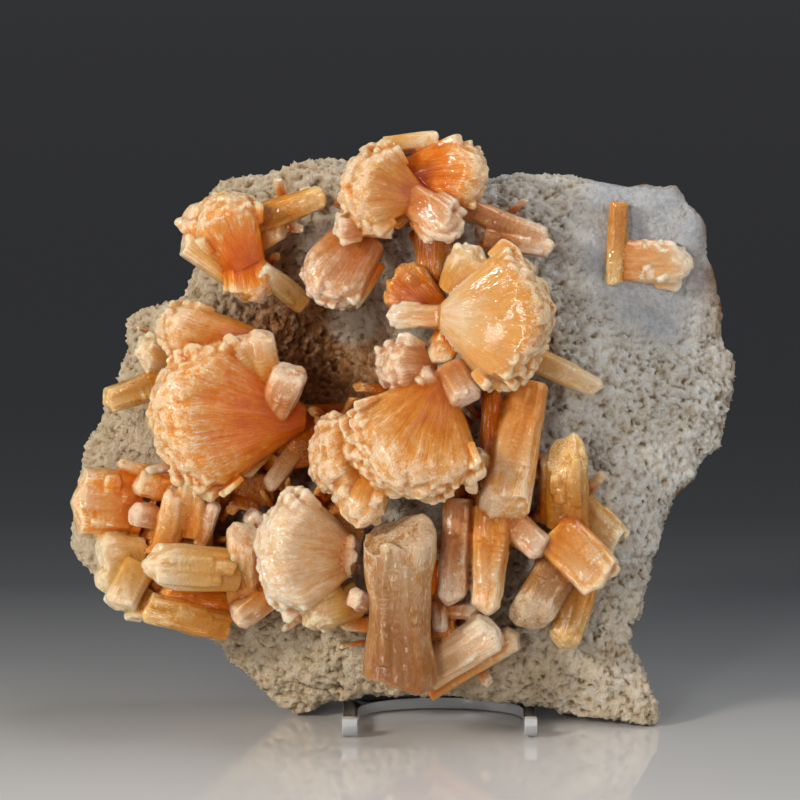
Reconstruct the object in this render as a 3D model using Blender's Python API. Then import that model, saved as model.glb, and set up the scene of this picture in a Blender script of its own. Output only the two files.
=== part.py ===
"""Stilbite cluster on its matrix plate, leaning on a clear plastic display easel.

Places on the specimen are given in millimetres on the plate: x to the right, s up along the
plate and n out of it, towards the viewer. The plate leans back, and to_world turns such a
place into metres with +Z up. The crystals were placed from a square view of the plate, so
settle draws a place that stands out from the plate in towards the middle of that view.
"""

import math
from typing import NamedTuple

import bmesh
import bpy
from mathutils import Vector, noise
from mathutils.geometry import delaunay_2d_cdt

# Driving dimensions, in millimetres and degrees
MM = 0.001
LEAN_DEG = 10.0
CENTRE_X = 0.87
CENTRE_Y = -6.5
PLATE_HEIGHT = 79.4
VIEW_DISTANCE = 1000.0
GAP = 0.35
FLAT_ANGLE = 3.2

ROCK_EDGE_STEP = 5.5
ROCK_FRONT_STEP = 6.6
ROCK_BACK_STEP = 11.0
ROCK_BACK = -22.0
ROCK_BACK_BULGE = 6.0
ROCK_MIDDLE = (5.0, -7.0)
ROCK_SIDES = ((-6.0, 1.005), (-13.0, 0.985), (-19.0, 0.945))
# Fixes the vector noise that shakes the rock's lattice, which is otherwise drawn from the clock
NOISE_SEED = 1796050906

EASEL_LEFT = -14.25
EASEL_RIGHT = 33.75
EASEL_SHEET = 2.8
EASEL_TIP_Y = CENTRE_Y - 30.0
EASEL_TIP_HEIGHT = 5.0
EASEL_PANEL_N = -26.0
EASEL_TOP = 74.0
EASEL_FOOT_Y = CENTRE_Y + 55.0
EASEL_BEND = 4.0
EASEL_ARM_LEFT = 3.75
EASEL_ARM_RIGHT = 3.0
NOTCH_FRONT_N = -3.0
NOTCH_BACK_N = -14.0
EASEL_MARGIN = 5.0
EASEL_CLEARANCE = 0.8

# The outline of the rock, clockwise from its upper left corner, as (x, s)
ROCK_OUTLINE = (
    (-45.5, 55.0), (-39.0, 56.2), (-29.7, 57.2), (-24.2, 60.2), (-16.0, 59.7), (0.0, 58.0),
    (22.5, 56.0), (28.7, 56.5), (40.2, 56.2), (53.0, 54.2), (69.0, 53.7), (72.0, 50.5),
    (76.0, 46.0), (77.5, 37.0), (80.0, 24.2), (81.5, 15.2), (84.2, 10.2), (84.2, 7.0),
    (82.2, -5.0), (79.7, -12.0), (76.5, -14.7), (72.7, -20.5), (70.0, -22.7), (65.5, -31.2),
    (65.7, -37.0), (63.0, -39.5), (62.7, -44.2), (61.0, -47.5), (60.5, -54.2), (58.0, -56.7),
    (57.5, -61.2), (59.7, -65.0), (62.5, -70.7), (64.2, -76.5), (64.5, -81.0), (61.5, -81.8),
    (53.5, -80.2), (43.7, -79.0), (29.7, -76.2), (15.7, -74.0), (0.0, -74.0), (-8.7, -74.2),
    (-12.5, -76.0), (-17.0, -78.5), (-24.7, -79.2), (-26.7, -79.8), (-33.0, -74.5),
    (-39.5, -68.2), (-44.0, -63.7), (-47.7, -59.2), (-52.5, -55.0), (-62.5, -52.5),
    (-72.5, -50.0), (-77.0, -43.5), (-81.7, -38.7), (-82.5, -35.5), (-79.5, -18.0),
    (-78.7, -9.7), (-75.7, -7.2), (-74.5, -2.7), (-70.7, 4.2), (-68.7, 12.5), (-68.7, 19.5),
    (-66.7, 22.0), (-61.7, 24.0), (-54.0, 26.0), (-51.7, 32.0), (-50.5, 35.0), (-48.7, 37.5),
    (-48.7, 50.0),
)

# Broad rises and hollows of the rock's face, as (x, s, height, radius)
ROCK_SWELLS = (
    (36.0, 8.0, 7.5, 34.0),
    (45.0, -45.0, 5.0, 26.0),
    (62.0, -80.0, 6.0, 18.0),
    (-27.0, -79.0, -5.0, 16.0),
    (-14.0, 14.0, -17.0, 19.0),
    (-31.0, -14.0, -7.0, 16.0),
    (-20.0, -62.0, 3.0, 20.0),
    (10.0, -60.0, 4.0, 20.0),
    (-60.0, 5.0, 2.0, 16.0),
    (-20.0, 54.0, 3.0, 16.0),
    (72.0, 20.0, -3.0, 22.0),
)


class Crystal(NamedTuple):
    """One crystal or sheaf: its two ends, half width, half depths and the way it ends."""

    root: tuple
    tip: tuple
    width: float
    spread: float
    depth_root: float
    depth_tip: float
    drop: float
    box: float
    slant: float
    rows: tuple
    sides: int


# How the two kinds of crystal are drawn: rows of (place along it, size of its section), the
# number of sides, how square the section is, and how much shorter a blade is at its edges
FAN_ROWS = ((0.0, 1.0), (0.5, 1.0), (0.94, 0.98), (1.04, 0.6))
FAN_SIDES = 10
FAN_BOX = 2.5
BLADE_ROWS = ((0.0, 1.0), (0.93, 0.97), (1.0, 0.74))
BLADE_SIDES = 8
BLADE_BOX = 3.2
BLADE_DROP = 0.1
LEAST_SPREAD = 2.0
UNEVENNESS = 0.07


def fan(root, tip, width, spread, depths, drop=0.2):
    """A sheaf of fibres that opens from a narrow root to a rounded crest."""
    return Crystal(root, tip, width, spread, *depths, drop, FAN_BOX, 0.0, FAN_ROWS, FAN_SIDES)


def blade(root, tip, widths, depth, slant=0.0):
    """A flat prism with rounded edges, whose end may be cut on a slant."""
    length = (Vector(tip) - Vector(root)).length
    spread = math.degrees(math.atan2(widths[1] - widths[0], length))
    return Crystal(
        root, tip, widths[0], spread, depth, depth, BLADE_DROP, BLADE_BOX, slant, BLADE_ROWS, BLADE_SIDES
    )


UPPER_LEFT_SHEAVES = (
    fan((-38.5, 34.5, 15), (-46.5, 51.0, 21), 5.2, 19, (5.0, 8.0)),
    blade((-40.5, 31.5, 11), (-54.0, 41.5, 15), (4.2, 5.0), 3.4),
    blade((-43.0, 37.0, 11), (-53.5, 47.5, 16), (4.0, 5.0), 3.4),
    fan((-38.8, 36.0, 15), (-36.5, 24.5, 13), 5.4, 8, (5.0, 5.4)),
    blade((-35.5, 45.0, 12), (-18.7, 51.2, 15), (3.8, 3.2), 3.2, slant=0.5),
    blade((-36.0, 38.5, 10), (-28.7, 43.0, 13), (2.4, 2.2), 2.2),
    blade((-24.5, 24.2, 6), (-35.5, 33.2, 17), (2.8, 2.6), 2.4),
    blade((-39.0, 38.0, -6), (-40.0, 40.0, 14), (6.0, 6.0), 8.0),
)

UPPER_SHEAVES = (
    fan((4.0, 51.0, 19), (-14.5, 55.0, 25), 3.2, 44, (4.5, 9.5), drop=0.3),
    fan((2.0, 52.0, 20), (14.5, 41.0, 25), 3.4, 12, (3.6, 5.0)),
    fan((1.0, 56.0, 14), (22.0, 57.0, 19), 4.2, 22, (5.0, 7.0)),
    blade((-4.0, 63.8, 13), (10.2, 65.0, 14), (2.0, 2.4), 2.2),
    fan((-8.0, 43.0, 23), (-17.5, 43.0, 25), 2.0, 9, (2.2, 3.0)),
    blade((-9.5, 43.0, 23), (-1.7, 42.7, 24), (2.0, 2.1), 2.2),
    fan((-9.5, 41.0, 13), (-20.7, 24.7, 20), 6.8, 10, (4.5, 7.0)),
    blade((-5.5, 34.0, 13), (-11.7, 23.5, 17), (2.0, 1.8), 2.2),
    blade((7.0, 46.0, 12), (7.5, 29.5, 14), (3.6, 3.4), 3.2),
    blade((16.5, 48.0, 12), (37.0, 39.7, 12), (2.8, 2.6), 2.8),
    blade((21.0, 40.5, 13), (38.2, 37.5, 13), (2.6, 2.4), 2.6),
    blade((-12.0, 52.0, 12), (4.0, 47.0, 14), (6.0, 6.0), 6.0),
    blade((1.0, 48.0, -6), (1.0, 50.0, 17), (10.0, 8.0), 6.0),
)

BOW_TIE = (
    fan((10.2, 21.0, 26), (38.5, 19.5, 27), 3.4, 50, (4.4, 11.0), drop=0.22),
    fan((11.5, 21.0, 26), (-4.2, 20.9, 24), 3.0, 3, (3.2, 3.4)),
    fan((12.0, 20.0, 20), (-2.5, 32.0, 17), 2.8, 17, (2.8, 3.2)),
    fan((13.0, 27.0, 23), (19.5, 38.2, 26), 3.8, 15, (4.2, 5.0)),
    blade((13.5, 19.0, 20), (9.0, 8.7, 23), (3.8, 3.6), 4.0),
    blade((24.0, 14.0, 13), (50.5, 2.5, 9), (3.4, 2.6), 3.4),
    blade((24.0, 20.0, -2), (16.0, 20.0, 24), (8.0, 7.0), 8.0),
)

CENTRE_FANS = (
    fan((10.0, 3.7, 22), (-2.4, -23.5, 32), 3.8, 42, (4.4, 10.5)),
    blade((10.5, 1.0, 22), (4.0, 7.0, 25), (3.4, 3.4), 3.2),
    fan((-6.0, -13.0, 18), (-22.2, -15.5, 26), 5.0, 31, (5.0, 9.0)),
    fan((-7.0, -15.5, 20), (-10.7, -31.0, 27), 4.4, 12, (5.0, 6.6)),
    fan((7.0, 8.5, 19), (-6.0, 9.7, 26), 4.2, 15, (5.0, 6.6)),
    blade((12.5, 8.0, 23), (17.0, -0.5, 28), (3.8, 3.8), 3.4),
    blade((4.0, -8.0, -5), (2.0, -10.0, 22), (10.0, 8.0), 9.0),
)

RIGHT_BLADES = (
    blade((32.5, 4.0, 16), (25.7, -28.9, 23), (4.8, 6.6), 4.8),
    blade((23.0, 4.0, 16), (22.5, -17.5, 18), (2.6, 2.6), 3.0),
    blade((14.5, -25.0, 14), (13.0, -51.2, 18), (3.8, 3.6), 4.0),
    blade((23.5, -27.0, 17), (21.2, -53.7, 20), (5.0, 3.4), 4.2),
    blade((25.0, -27.5, 16), (36.2, -38.2, 18), (3.8, 3.8), 3.6),
    blade((22.0, -16.0, 20), (18.3, -13.2, 24), (2.0, 1.9), 1.9),
    blade((24.0, -32.0, -3), (24.0, -28.0, 18), (10.0, 8.0), 8.0),
)

LEFT_FANS = (
    fan((-25.0, -4.5, 9), (-62.5, -3.0, 25), 3.6, 38, (4.4, 10.0), drop=0.25),
    fan((-37.5, 13.5, 11), (-61.0, 20.0, 19), 4.8, 7, (4.4, 6.2)),
    fan((-57.0, 11.0, 7), (-65.5, 12.0, 12), 3.6, 9, (3.2, 4.0)),
    blade((-49.0, 8.5, 5), (-74.2, -0.5, 12), (3.6, 3.2), 2.8),
    blade((-32.0, 2.0, 13), (-41.5, 15.5, 21), (3.6, 3.4), 3.2),
    blade((-32.0, 1.0, 13), (-35.5, 17.2, 21), (3.5, 3.4), 3.2),
    blade((-32.0, -3.5, 13), (-26.7, 8.0, 21), (4.2, 4.2), 3.6),
    blade((-54.5, -16.0, 9), (-63.5, -18.0, 14), (1.6, 1.3), 1.6),
    blade((-31.0, -8.0, 7), (-39.2, -19.2, 12), (2.5, 2.2), 2.4),
    blade((-25.0, -11.0, 7), (-33.2, -22.2, 12), (2.5, 2.2), 2.4),
    blade((-15.0, -8.0, -2), (-31.0, -10.0, 8), (7.0, 8.0), 5.0),
    blade((-44.0, 3.0, -6), (-44.0, 1.0, 13), (11.0, 9.0), 10.0),
    blade((-38.0, -20.0, -9), (-40.0, -23.0, 10), (11.0, 9.0), 6.0),
    blade((-50.0, -17.0, -6), (-52.0, -21.0, 11), (7.0, 6.0), 5.0),
)

LOWER_LEFT_BLADES = (
    blade((-65.0, -26.2, 6), (-81.8, -25.0, 11), (8.0, 8.6), 4.0),
    blade((-56.0, -22.7, 10), (-66.5, -20.5, 13), (3.6, 3.6), 3.2),
    blade((-57.5, -19.0, 9), (-70.7, -15.7, 10), (1.9, 1.5), 1.8),
    blade((-61.0, -29.5, 12), (-67.5, -28.5, 16), (2.9, 2.8), 2.8),
    blade((-52.5, -33.5, 12), (-51.7, -18.7, 18), (3.6, 3.4), 3.2),
    blade((-58.7, -37.0, 12), (-55.5, -22.5, 17), (3.3, 3.2), 3.2),
    blade((-50.0, -36.0, 12), (-46.0, -25.2, 16), (1.8, 1.7), 2.2),
    fan((-41.2, -42.5, 13), (-64.5, -41.2, 24), 5.2, 1, (4.8, 5.2)),
    blade((-43.0, -56.5, 8), (-64.7, -51.5, 14), (3.9, 3.9), 3.6),
    blade((-41.2, -50.0, 8), (-60.0, -48.0, 12), (3.2, 3.0), 3.2),
    blade((-64.5, -39.5, 8), (-75.7, -39.0, 12), (5.4, 5.6), 3.6),
    blade((-65.0, -41.5, 11), (-70.5, -52.0, 16), (4.2, 4.0), 3.4),
    blade((-63.0, -48.0, 9), (-67.5, -55.5, 13), (2.8, 2.5), 2.6),
    blade((-66.0, -40.5, 8), (-75.0, -47.5, 12), (4.0, 4.4), 3.4),
    blade((-56.0, -40.0, -6), (-56.0, -37.0, 13), (12.0, 10.0), 12.0),
)

LOWER_FANS = (
    fan((-13.0, -38.7, 16), (-36.0, -38.0, 27), 5.2, 38, (4.4, 7.6)),
    blade((-16.0, -38.7, 18), (-9.5, -38.7, 18), (5.2, 5.2), 3.8),
    blade((-39.5, -50.0, 9), (-39.2, -31.2, 18), (4.1, 4.0), 3.6),
    blade((-25.0, -36.0, 7), (-38.7, -28.5, 12), (2.7, 2.5), 3.0),
    blade((-23.0, -54.0, 13), (-27.7, -52.3, 17), (1.8, 1.7), 1.8),
    fan((-11.5, -50.0, 13), (-24.0, -54.5, 21), 4.8, 2, (4.4, 4.8)),
    blade((-8.5, -50.5, 18), (-12.2, -48.8, 22), (2.6, 2.6), 2.4),
    blade((-31.0, -46.5, 8), (-41.2, -55.5, 13), (4.0, 3.8), 3.2),
    blade((-7.0, -56.0, 11), (-14.7, -56.0, 13), (2.0, 1.8), 2.2),
    blade((-24.0, -44.0, -6), (-23.0, -43.0, 16), (11.0, 9.0), 8.0),
    blade((-16.0, -28.0, -4), (-13.0, -33.0, 17), (6.0, 5.0), 5.0),
)

STANDING_BLADE = (
    blade((-0.2, -51.0, 23), (0.0, -28.5, 27), (7.3, 8.8), 5.4, slant=0.55),
    blade((-0.2, -49.0, 23), (0.0, -72.4, 20), (7.3, 8.8), 5.4),
    blade((6.5, -68.0, 13), (24.2, -57.0, 18), (5.0, 5.0), 4.2),
    blade((6.5, -72.0, 9), (30.0, -58.7, 12), (3.6, 3.3), 3.2),
    blade((9.5, -49.0, 14), (10.0, -58.0, 17), (2.0, 1.9), 2.2),
    blade((11.5, -52.5, 13), (19.5, -53.0, 17), (2.1, 2.0), 2.2),
    blade((3.0, -60.0, -5), (2.0, -57.0, 18), (8.5, 7.5), 9.0),
    blade((10.5, -42.0, 1), (11.0, -62.0, 15), (3.6, 3.4), 4.0),
)

LOWER_RIGHT_BLADES = (
    blade((41.7, -31.0, 12), (41.7, -9.5, 20), (5.2, 5.0), 4.6, slant=0.3),
    blade((37.0, -30.0, 10), (37.0, -14.5, 16), (2.3, 2.1), 3.2),
    blade((38.7, -33.0, 15), (51.7, -46.2, 21), (6.0, 6.0), 3.2),
    blade((46.5, -42.0, 8), (40.5, -61.2, 14), (4.3, 4.2), 3.6),
    blade((40.5, -40.5, 11), (31.7, -55.0, 19), (5.6, 5.4), 4.6, slant=-0.4),
    blade((44.0, -27.0, 6.5), (54.5, -37.5, 7), (5.2, 5.0), 3.2),
    blade((43.0, -38.0, -4), (42.5, -36.0, 15), (8.0, 6.0), 8.0),
)

EMBEDDED_CRYSTALS = (
    blade((54.7, 49.2, 0.6), (53.2, 28.0, 1.4), (2.5, 2.4), 3.6),
    fan((55.0, 34.6, 0.2), (73.2, 33.6, -0.6), 5.4, 3, (4.0, 4.2)),
)

# The groups, front ones first: a later group gives way to an earlier one where they meet
GROUPS = {
    "bow_tie": (BOW_TIE, (0.87, 0.50, 0.26)),
    "centre_fans": (CENTRE_FANS, (0.85, 0.47, 0.27)),
    "left_fans": (LEFT_FANS, (0.88, 0.48, 0.22)),
    "standing_blade": (STANDING_BLADE, (0.72, 0.45, 0.22)),
    "lower_fans": (LOWER_FANS, (0.86, 0.52, 0.34)),
    "lower_left_blades": (LOWER_LEFT_BLADES, (0.86, 0.53, 0.25)),
    "upper_sheaves": (UPPER_SHEAVES, (0.86, 0.51, 0.32)),
    "upper_left_sheaves": (UPPER_LEFT_SHEAVES, (0.89, 0.50, 0.22)),
    "right_blades": (RIGHT_BLADES, (0.82, 0.48, 0.28)),
    "lower_right_blades": (LOWER_RIGHT_BLADES, (0.82, 0.50, 0.27)),
    "embedded_crystals": (EMBEDDED_CRYSTALS, (0.80, 0.62, 0.38)),
}
ROCK_COLOUR = (0.78, 0.73, 0.65)
EASEL_COLOUR = (0.93, 0.95, 0.97)


def clear_scene():
    """Remove every object that the file starts with."""
    for thing in list(bpy.data.objects):
        bpy.data.objects.remove(thing, do_unlink=True)


def to_world(x, s, n):
    """A place on the leaning plate, in millimetres, as a point in metres."""
    lean = math.radians(LEAN_DEG)
    across = x - CENTRE_X
    back = s * math.sin(lean) - n * math.cos(lean) + CENTRE_Y
    up = s * math.cos(lean) + n * math.sin(lean) + PLATE_HEIGHT
    return Vector((across, back, up)) * MM


def settle(place):
    """Draw a place that stands out from the plate in towards the middle of the view."""
    x, s, n = place
    nearer = 1.0 - n / VIEW_DISTANCE
    return Vector((x * nearer, s * nearer, n))


def material(name, colour, roughness, alpha=1.0):
    """A Principled material with the given colour and roughness."""
    made = bpy.data.materials.new(name)
    made.use_nodes = True
    shader = made.node_tree.nodes["Principled BSDF"]
    shader.inputs["Base Color"].default_value = (*colour, 1.0)
    shader.inputs["Roughness"].default_value = roughness
    shader.inputs["Metallic"].default_value = 0.0
    shader.inputs["Alpha"].default_value = alpha
    return made


def new_object(name, mesh):
    """Link a mesh to the scene under this name."""
    made = bpy.data.objects.new(name, mesh)
    bpy.context.scene.collection.objects.link(made)
    return made


def mesh_from(name, points, faces):
    """A mesh of world points and faces, with its faces turned outwards."""
    mesh = bpy.data.meshes.new(name)
    mesh.from_pydata([tuple(p) for p in points], [], faces)
    shape = bmesh.new()
    shape.from_mesh(mesh)
    bmesh.ops.triangulate(shape, faces=shape.faces)
    bmesh.ops.recalc_face_normals(shape, faces=shape.faces)
    shape.to_mesh(mesh)
    shape.free()
    return mesh


def resample(outline, step):
    """Points at even steps along a closed outline, keeping each of its corners."""
    points = []
    for index, start in enumerate(outline):
        end = outline[(index + 1) % len(outline)]
        run = Vector(end) - Vector(start)
        parts = max(1, round(run.length / step))
        points += [Vector(start) + run * k / parts for k in range(parts)]
    return points


def inside(point, outline):
    """Whether a point lies in a closed outline, by counting crossings."""
    crossings = 0
    for index, start in enumerate(outline):
        end = outline[(index + 1) % len(outline)]
        if (start[1] > point[1]) != (end[1] > point[1]):
            reach = (point[1] - start[1]) / (end[1] - start[1])
            crossings += point[0] < start[0] + reach * (end[0] - start[0])
    return crossings % 2 == 1


def edge_distance(point, outline):
    """How far a point is from a closed outline."""
    best = 1e9
    for index, start in enumerate(outline):
        run = outline[(index + 1) % len(outline)] - start
        along = (point - start).dot(run) / max(run.length_squared, 1e-9)
        best = min(best, (point - start - run * min(1.0, max(0.0, along))).length)
    return best


def lattice(outline, step, margin):
    """Points of a triangular lattice inside an outline, slightly shaken."""
    columns = [p[0] for p in outline]
    rows = [p[1] for p in outline]
    points = []
    rise = step * math.sqrt(3.0) / 2.0
    for row in range(int((max(rows) - min(rows)) / rise) + 2):
        for column in range(int((max(columns) - min(columns)) / step) + 2):
            x = min(columns) + (column + 0.5 * (row % 2)) * step
            s = min(rows) + row * rise
            shake = noise.noise_vector(Vector((x * 0.9, s * 0.9, step))) * step * 0.28
            point = Vector((x + shake.x, s + shake.y))
            if inside(point, outline) and edge_distance(point, outline) > margin:
                points.append(point)
    return points


def rock_face(x, s, rim):
    """How far the rock's face stands out at (x, s), rim being the distance to its edge."""
    height = 0.0
    for swell_x, swell_s, rise, radius in ROCK_SWELLS:
        height += rise * math.exp(-((x - swell_x) ** 2 + (s - swell_s) ** 2) / radius**2)
    lumps = 1.5 * noise.noise(Vector((x * 0.075, s * 0.075, 1.3)))
    lumps += 1.3 * noise.noise(Vector((x * 0.19, s * 0.19, 4.1)))
    return height + lumps * min(1.0, rim / 6.0 + 0.3) - 2.4 * math.exp(-rim / 2.6)


def rock_back(x, s, rim):
    """How far back the rock reaches at (x, s), with its flat where it leans on the easel."""
    bulge = ROCK_BACK_BULGE * (1.0 - math.exp(-rim / 16.0))
    lumps = 2.2 * noise.noise(Vector((x * 0.06, s * 0.06, 9.7)))
    lumps += 1.2 * noise.noise(Vector((x * 0.16, s * 0.16, 12.9)))
    return max(ROCK_BACK - bulge + lumps, EASEL_PANEL_N + GAP)


def lift_off_floor(place):
    """Keep a point of the rock above the floor, and above the easel's base where it passes."""
    x, s, n = place
    lean = math.radians(LEAN_DEG)
    lowest = 0.0
    if EASEL_LEFT - EASEL_MARGIN < x < EASEL_RIGHT + EASEL_MARGIN:
        lowest = EASEL_SHEET + EASEL_CLEARANCE
    least = (lowest - PLATE_HEIGHT - n * math.sin(lean)) / math.cos(lean)
    return (x, max(s, least), n)


def rock_mesh(grow):
    """The whole rock as one closed mesh; grow pushes its face and sides out."""
    rim = resample(ROCK_OUTLINE, ROCK_EDGE_STEP)
    middle = Vector(ROCK_MIDDLE)
    count = len(rim)
    front = rim + lattice(rim, ROCK_FRONT_STEP, ROCK_FRONT_STEP * 0.55)
    edges = [(k, (k + 1) % count) for k in range(count)]
    flat, _, faces, _, _, _ = delaunay_2d_cdt(front, edges, [], 1, 1e-5)
    spread = [p + (p - middle).normalized() * grow for p in flat[:count]]
    places = []
    for index, p in enumerate(flat):
        near = edge_distance(p, rim) if index >= count else 0.0
        at = spread[index] if index < count else p
        places.append((at.x, at.y, rock_face(p.x, p.y, near) + grow))
    faces = [list(f) for f in faces]
    ring = list(range(count))
    for depth, scale in ROCK_SIDES:
        start = len(places)
        for k in range(count):
            rough = noise.noise(Vector((rim[k].x * 0.12, rim[k].y * 0.12, depth)))
            out = middle + (rim[k] - middle) * (scale + 0.016 * rough)
            out += (out - middle).normalized() * grow
            places.append((out.x, out.y, depth + 1.5 * rough))
        for k in range(count):
            after = (k + 1) % count
            faces.append([ring[k], start + k, start + after, ring[after]])
        ring = list(range(start, start + count))
    inner = [Vector(places[k][:2]) for k in ring]
    back = inner + lattice(inner, ROCK_BACK_STEP, ROCK_BACK_STEP * 0.5)
    flat, _, back_faces, _, _, _ = delaunay_2d_cdt(back, edges, [], 1, 1e-5)
    start = len(places)
    for p in flat[count:]:
        places.append((p.x, p.y, rock_back(p.x, p.y, edge_distance(p, inner))))
    renamed = ring + list(range(start, len(places)))
    faces += [[renamed[v] for v in reversed(f)] for f in back_faces]
    places = [lift_off_floor(p) for p in places]
    return mesh_from("matrix", [to_world(*p) for p in places], faces)


def crystal_axes(root, tip):
    """The crystal's own axes: along it, across its width and through its thickness."""
    along = (tip - root).normalized()
    through = Vector((0.0, 0.0, 1.0))
    if abs(along.z) > 0.95:
        through = Vector((0.0, 1.0, 0.0))
    through = (through - along * through.dot(along)).normalized()
    return along, through.cross(along), through


def crystal_point(crystal, t, a, b, grow):
    """A point of the crystal: t runs from root to tip, a across and b through it."""
    root = settle(crystal.root)
    tip = settle(crystal.tip)
    along, across, through = crystal_axes(root, tip)
    length = (tip - root).length + 2.0 * grow
    root = root - along * grow
    width = crystal.width + grow
    start = root + across * a * width
    if crystal.spread < LEAST_SPREAD:
        end_width = width + length * math.tan(math.radians(crystal.spread))
        reach = length * (1.0 - crystal.drop * a * a)
        end = root + along * reach + across * a * end_width
    else:
        angle = math.radians(crystal.spread)
        behind = width / math.tan(angle)
        reach = behind + length * (1.0 - crystal.drop * a * a)
        end = root - along * behind + (along * math.cos(a * angle) + across * math.sin(a * angle)) * reach
    t_slanted = t + crystal.slant * b * crystal.depth_tip / length * max(0.0, t)
    depth = crystal.depth_root + (crystal.depth_tip - crystal.depth_root) * min(1.0, max(t, 0.0)) ** 1.2
    return start + (end - start) * t_slanted + through * b * (depth + grow)


def crystal_mesh(name, crystal, seed, grow=0.0):
    """A closed, faceted mesh of one crystal."""
    power = 2.0 / crystal.box
    places = []
    for t, scale in crystal.rows:
        for k in range(crystal.sides):
            angle = 2.0 * math.pi * (k + 0.5) / crystal.sides
            uneven = noise.noise(Vector((seed * 3.7, math.cos(angle) * 1.6, math.sin(angle) * 1.6)))
            size = scale * (1.0 + UNEVENNESS * uneven)
            a = math.copysign(abs(math.cos(angle)) ** power, math.cos(angle)) * size
            b = math.copysign(abs(math.sin(angle)) ** power, math.sin(angle)) * size
            places.append(crystal_point(crystal, t, a, b, grow))
    places.append(crystal_point(crystal, 0.0, 0.0, 0.0, grow))
    places.append(crystal_point(crystal, crystal.rows[-1][0] + 0.01, 0.0, 0.0, grow))
    faces = []
    sides = crystal.sides
    rows = len(crystal.rows)
    for row in range(rows - 1):
        for k in range(sides):
            after = (k + 1) % sides
            low = row * sides
            faces.append([low + k, low + after, low + sides + after, low + sides + k])
    for k in range(sides):
        after = (k + 1) % sides
        faces.append([after, k, rows * sides])
        faces.append([(rows - 1) * sides + k, (rows - 1) * sides + after, rows * sides + 1])
    return mesh_from(name, [to_world(*p) for p in places], faces)


def combine(target, others, operation):
    """Join the other objects to the target, or cut them from it, and delete them."""
    group = bpy.data.collections.new("operands")
    for other in others:
        group.objects.link(other)
    change = target.modifiers.new("combine", "BOOLEAN")
    change.operation = operation
    change.solver = "EXACT"
    change.operand_type = "COLLECTION"
    change.collection = group
    graph = bpy.context.evaluated_depsgraph_get()
    result = bpy.data.meshes.new_from_object(target.evaluated_get(graph))
    target.modifiers.clear()
    target.data = result
    for other in others:
        bpy.data.objects.remove(other, do_unlink=True)
    bpy.data.collections.remove(group)


def islands(shape):
    """The connected parts of a bmesh, as lists of faces."""
    left = set(shape.faces)
    parts = []
    while left:
        seen = [left.pop()]
        part = []
        while seen:
            face = seen.pop()
            part.append(face)
            for edge in face.edges:
                for other in edge.link_faces:
                    if other in left:
                        left.remove(other)
                        seen.append(other)
        parts.append(part)
    return parts


def keep_main_body(target):
    """Clean a cut mesh and keep its largest body alone."""
    shape = bmesh.new()
    shape.from_mesh(target.data)
    bmesh.ops.remove_doubles(shape, verts=shape.verts, dist=2e-6)
    bmesh.ops.dissolve_degenerate(shape, edges=shape.edges, dist=2e-6)
    bmesh.ops.dissolve_limit(
        shape, angle_limit=math.radians(FLAT_ANGLE), verts=shape.verts, edges=shape.edges
    )
    bmesh.ops.triangulate(shape, faces=shape.faces)
    parts = sorted(islands(shape), key=lambda part: sum(f.calc_area() for f in part))
    loose = [face for part in parts[:-1] for face in part]
    bmesh.ops.delete(shape, geom=loose, context="FACES")
    shape.to_mesh(target.data)
    shape.free()


def crystal_objects(name, crystals, grow=0.0):
    """One object for each crystal of a group."""
    made = []
    for index, crystal in enumerate(crystals):
        label = f"{name}_{index}"
        seed = index + 1.0 + 0.13 * len(name)
        made.append(new_object(label, crystal_mesh(label, crystal, seed, grow)))
    return made


def build_group(name, crystals, earlier):
    """A crystal group as one solid, clear of the rock and of the earlier groups."""
    parts = crystal_objects(name, crystals)
    target = parts[0]
    combine(target, parts[1:], "UNION")
    cutters = [new_object("rock_cutter", rock_mesh(GAP + 0.05))]
    for other, members in earlier.items():
        cutters += crystal_objects(f"cutter_{other}", members, GAP)
    combine(target, cutters, "DIFFERENCE")
    keep_main_body(target)
    target.name = name
    target.data.name = name
    return target


def bend(path, radius, steps):
    """Replace each inner corner of a path in (y, z) by an arc of the given radius."""
    rounded = [Vector(path[0])]
    for before, corner, after in zip(path, path[1:], path[2:]):
        corner = Vector(corner)
        back = (Vector(before) - corner).normalized()
        ahead = (Vector(after) - corner).normalized()
        half = back.angle(ahead) / 2.0
        reach = radius / math.tan(half)
        middle = corner + (back + ahead).normalized() * radius / math.sin(half)
        first = corner + back * reach - middle
        last = corner + ahead * reach - middle
        turn = first.angle_signed(last)
        for k in range(steps + 1):
            spin = -turn * k / steps
            turned = Vector((
                first.x * math.cos(spin) - first.y * math.sin(spin),
                first.x * math.sin(spin) + first.y * math.cos(spin),
            ))
            rounded.append(middle + turned)
    rounded.append(Vector(path[-1]))
    return rounded


def sheet_profile(path, thickness):
    """The closed outline of a sheet of even thickness along a path in (y, z)."""
    sides = ([], [])
    for index, point in enumerate(path):
        before = path[max(index - 1, 0)]
        after = path[min(index + 1, len(path) - 1)]
        run = (after - before).normalized()
        normal = Vector((-run.y, run.x))
        sides[0].append(point + normal * thickness / 2.0)
        sides[1].append(point - normal * thickness / 2.0)
    return sides[0] + sides[1][::-1]


def plate_level(n, height):
    """The y, in millimetres, of the point at depth n on the plate that is at this height."""
    lean = math.radians(LEAN_DEG)
    s = (height - PLATE_HEIGHT - n * math.sin(lean)) / math.cos(lean)
    return s * math.sin(lean) - n * math.cos(lean) + CENTRE_Y


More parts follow.
